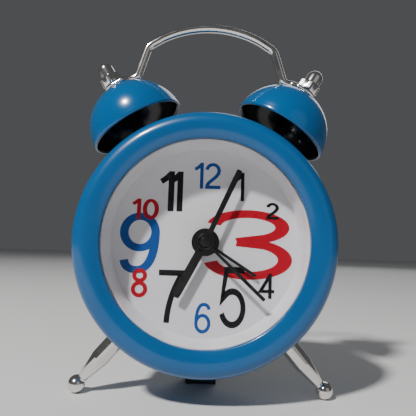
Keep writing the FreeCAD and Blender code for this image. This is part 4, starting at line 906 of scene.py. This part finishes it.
round_share = round_share * round_share * (3.0 - 2.0 * round_share)
half_thick = into["Flat thickness"] * 0.5 * (1.0 - round_share) + into["Radius"] * round_share
level = (sideways * sideways + upright * upright).root()
pressed = (half_thick / (level + 0.0001)).least(1.0)
half_wide = into["Flat width"] * 0.5
short = (1.0 - from_end / half_wide).held()
nose = (1.02 - short * short).root().least(1.0)
spread = (half_wide / into["Radius"] * (1.0 - round_share) + round_share) * nose
moved = make(tree, "ShaderNodeCombineXYZ", None, sideways * pressed, upright * pressed, depth * spread)
spot = make(tree, "ShaderNodeVectorMath", {"operation": "ADD"}, centre, moved)
shaped = make(tree, "GeometryNodeSetPosition", None, swept, Position=spot)
close_tree(tree, shaped, into["Finish"])

# %% Handle
count = len(path)
wire = points_mesh("wire_path", [(spot.x, spot.y, 0.0) for spot in path],
                   [(k, k + 1) for k in range(count - 1)])
TAB_WIDTH, TAB_LENGTH, TAB_FLARE = 5.2, 5.0, 2.4
handle_mesh = grown("handle", wire, tree, Radius=WIRE, Flat_thickness=STRIP, Flat_width=TAB_WIDTH,
                    Flat_length=TAB_LENGTH, Flare=TAB_FLARE, Finish=nickel)
handle_mesh.transform(on_dial(0, 0, -BELL_DEPTH))
handle_mesh.materials.clear()
settle("handle_wire", handle_mesh, "case", [nickel], ["carry_handle"], 50.0)

# %% [markdown]
# ## Ribs, screws and ridges by Geometry Nodes
# What repeats is left to a tree: the ribs round a setting knob, the screws of the rear cover
# and the ridges of the alarm switch. A rib stands at each point of a circle, and a screw head
# stands at each screw's place, with its cross at its own random turn from a fixed seed.

# %% Setting knobs
KNOB, KNOB_THICK = 3.5, 3.6
RIBS = 18
tree, into = open_tree("ribbed_knob", [
    ("Ribs", WHOLE), ("Radius", FLOAT), ("Length", FLOAT), ("Rib radius", FLOAT), ("Finish", STUFF)])
ring = make(tree, "GeometryNodeMeshCircle", None, Vertices=into["Ribs"], Radius=into["Radius"])
bar = make(tree, "GeometryNodeMeshCylinder", None, 12, Radius=into["Rib radius"], Depth=into["Length"])
bars = make(tree, "GeometryNodeInstanceOnPoints", None, ring, Instance=bar)
both = tree.nodes.new("GeometryNodeJoinGeometry")
for part in (bars, into["Geometry"]):
    tree.links.new(part.socket, both.inputs[0])
close_tree(tree, Link(tree, both.outputs[0]), into["Finish"])
for name, body, node in (("time_setter", "time_setting", "time_knob"),
                         ("alarm_setter", "alarm_setting", "alarm_knob")):
    low, high = (Vector(corner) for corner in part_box(node))
    middle = (low + high) / 2
    half = KNOB_THICK / 2
    core = rounded([(0, -half), (KNOB - 0.35, -half, 0.45), (KNOB - 0.3, half, 0.3), (0, half)], 5)
    dish = [(0, -half + 0.35), (1.9, -half + 0.35), (2.3, -half + 0.05)] + core[1:]
    points, faces = lathe(dish, 72)
    base = bpy.data.meshes.new("knob_core")
    base.from_pydata(points, [], faces)
    mesh = grown(name, base, tree, Ribs=RIBS, Radius=KNOB - 0.4, Length=KNOB_THICK - 0.9,
                 Rib_radius=0.36, Finish=knob_plastic)
    mesh.transform(on_dial(middle.x / MM, (middle.z - AXIS_Z) / MM, -(middle.y - DIAL_Y) / MM))
    mesh.materials.clear()
    settle(name, mesh, body, [knob_plastic], [node])

# %% Rear cover screws
COVER_BACK, SCREW_RING, HEAD = -17.0, 20.8, 1.4
tree, into = open_tree("cross_screws", [
    ("Head radius", FLOAT), ("Head height", FLOAT), ("Slot", FLOAT), ("Seed", WHOLE), ("Finish", STUFF)])
ball = make(tree, "GeometryNodeMeshUVSphere", None, 40, 20, 1.0)
size = make(tree, "ShaderNodeCombineXYZ", None, into["Head radius"], into["Head radius"],
            into["Head height"])
head = make(tree, "GeometryNodeTransform", None, ball, Scale=size)
for wide, deep in ((1.2, None), (None, 1.2)):
    across = make(tree, "ShaderNodeCombineXYZ", None,
                  into["Head radius"] * wide if wide else into["Slot"],
                  into["Head radius"] * deep if deep else into["Slot"], into["Head height"])
    blade = make(tree, "GeometryNodeMeshCube", None, across)
    sunk_by = make(tree, "ShaderNodeCombineXYZ", None, 0.0, 0.0, into["Head height"] * -0.95)
    blade = make(tree, "GeometryNodeTransform", None, blade, Translation=sunk_by)
    head = make(tree, "GeometryNodeMeshBoolean", {"operation": "DIFFERENCE"}, head, blade)
turn = make(tree, "FunctionNodeRandomValue", {"data_type": "FLOAT"}, out=1, Seed=into["Seed"])
turn = make(tree, "ShaderNodeCombineXYZ", None, 0.0, 0.0, turn * 3.0)
heads = make(tree, "GeometryNodeInstanceOnPoints", None, into["Geometry"], Instance=head,
             Rotation=make(tree, "FunctionNodeEulerToRotation", None, turn))
close_tree(tree, heads, into["Finish"])
places = [(*polar(SCREW_RING, bearing), COVER_BACK + 0.02) for bearing in (-122, -62, 62, 122)]
mesh = grown("cover_screws", points_mesh("screw_places", places), tree, Head_radius=HEAD,
             Head_height=0.75, Slot=0.34, Seed=7, Finish=zinc)
mesh.transform(DIAL)
mesh.materials.clear()
settle("cover_screws", mesh, "case", [zinc], ["rear_cover_screws"], 40.0)

# %% Ridges on the alarm switch
tree, into = open_tree("thumb_ridges", [
    ("Count", WHOLE), ("Step", FLOAT), ("Length", FLOAT), ("Radius", FLOAT), ("Finish", STUFF)])
step = make(tree, "ShaderNodeCombineXYZ", None, into["Step"], 0.0, 0.0)
row = make(tree, "GeometryNodeMeshLine", None, Count=into["Count"], Offset=step)
rod = make(tree, "GeometryNodeMeshCylinder", None, 12, Radius=into["Radius"], Depth=into["Length"])
rods = make(tree, "GeometryNodeInstanceOnPoints", None, row, Instance=rod,
            Rotation=(math.radians(90), 0.0, 0.0))
close_tree(tree, rods, into["Finish"])
low, high = (Vector(corner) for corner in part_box("alarm_switch_slider"))
mesh = grown("ridges", points_mesh("none", [(0, 0, 0)]), tree, Count=5, Step=0.75, Length=3.0,
             Radius=0.22, Finish=knob_plastic)
mesh.transform(on_dial((low.x + high.x) / 2 / MM - 1.5, ((low.z + high.z) / 2 - AXIS_Z) / MM,
                       -(high.y - DIAL_Y) / MM))
mesh.materials.clear()
settle("switch_ridges", mesh, "switch", [knob_plastic])

# %% [markdown]
# ## Everything else keeps the working model's shape
# The rear cover, its door, the shafts, the wheels and the electrics already have their true
# shape. They keep it, and only their finish is new. One table says which finish each material
# slot of the model gets.

# %% Finishes for the remaining nodes
BY_SLOT = {
    "ring_blue": ring_paint, "bell_blue": bell_paint, "drum_blue": drum_paint,
    "lens_clear": clear_acrylic, "reflector_white": wall_plastic, "dial_white": dial_card,
    "hand_black": lacquer, "nickel": nickel, "steel": zinc, "pillar_black": pillar_black,
    "cover_black": cover_plastic, "knob_black": knob_plastic, "movement_white": frame_plastic,
    "wheel_plastic": wheel_plastic, "magnet_grey": magnet, "copper": copper,
    "board_green": board_lacquer, "resin_black": resin, "crystal_steel": tin_can,
    "buzzer_brass": brass, "cell_steel": tin_can,
}
slot_of = {entry["node"]: entry["material_slot"] for entry in frame["record"]["subparts"]}
for name, node in frame["nodes"].items():
    for slot in node.material_slots:
        slot.link = "OBJECT"
        slot.material = BY_SLOT[slot_of[name]]
print(len(frame["nodes"]), "nodes have a finish")

# %% [markdown]
# ## Stage, light and camera
# The clock stands on a plain pale floor. One rather small key lamp from the upper left gives
# the hands their shadows and shades the top of the dial, a broad lamp and a pale sky fill the
# rest, and one soft lamp behind shows the back. The camera stands close in front of the dial,
# tipped up a little.

# %% Floor and sky
floor_mesh = bpy.data.meshes.new("floor")
SIDE = 3.0
floor_mesh.from_pydata([(-SIDE, -SIDE, 0), (SIDE, -SIDE, 0), (SIDE, SIDE, 0), (-SIDE, SIDE, 0)], [],
                       [(0, 1, 2, 3)])
floor = bpy.data.objects.new("floor", floor_mesh)
bpy.context.scene.collection.objects.link(floor)
pale = Finish("pale_floor", Base_Color=(0.72, 0.72, 0.71, 1.0), Roughness=0.7)
floor_mesh.materials.append(pale.material)
world = bpy.data.worlds.new("studio")
bpy.context.scene.world = world
world.use_nodes = True
world.node_tree.nodes["Background"].inputs["Color"].default_value = (0.8, 0.83, 0.88, 1.0)
world.node_tree.nodes["Background"].inputs["Strength"].default_value = 0.1


# %% Lamps
def lamp(name, direction, distance, size, power, colour=(1.0, 1.0, 1.0)):
    light = bpy.data.lights.new(name, "AREA")
    light.shape = "DISK"
    light.size = size
    light.energy = power
    light.color = colour
    lamp_object = bpy.data.objects.new(name, light)
    bpy.context.scene.collection.objects.link(lamp_object)
    aim = Vector((0.0, DIAL_Y, AXIS_Z))
    lamp_object.location = aim + Vector(direction).normalized() * distance
    lamp_object.rotation_euler = (aim - lamp_object.location).to_track_quat("-Z", "Y").to_euler()


lamp("key", (-0.73, -1.0, 1.27), 0.9, 0.075, 11.0, (1.0, 0.98, 0.97))
lamp("fill", (0.9, -1.2, 0.5), 1.2, 0.9, 0.5, (0.93, 0.96, 1.0))
lamp("back", (0.5, 1.3, 0.9), 1.1, 0.7, 1.6, (0.97, 0.98, 1.0))

# %% Camera
EYE = Vector((-0.77, -103.5, -1.86)) * MM
camera = bpy.data.cameras.new("camera")
camera.sensor_width = 36.0
camera.lens = 36.1
camera.clip_start = 0.005
camera_object = bpy.data.objects.new("camera", camera)
bpy.context.scene.collection.objects.link(camera_object)
camera_object.location = EYE + Vector((0.0, 0.0, AXIS_Z))
tip, swing_right, roll = math.radians(5.8), math.radians(0.67), math.radians(1.8)
look = (Matrix.Rotation(-swing_right, 3, "Z") @ Matrix.Rotation(math.radians(90) + tip, 3, "X")
        @ Matrix.Rotation(roll, 3, "Z"))
camera_object.rotation_euler = look.to_euler()
bpy.context.scene.camera = camera_object
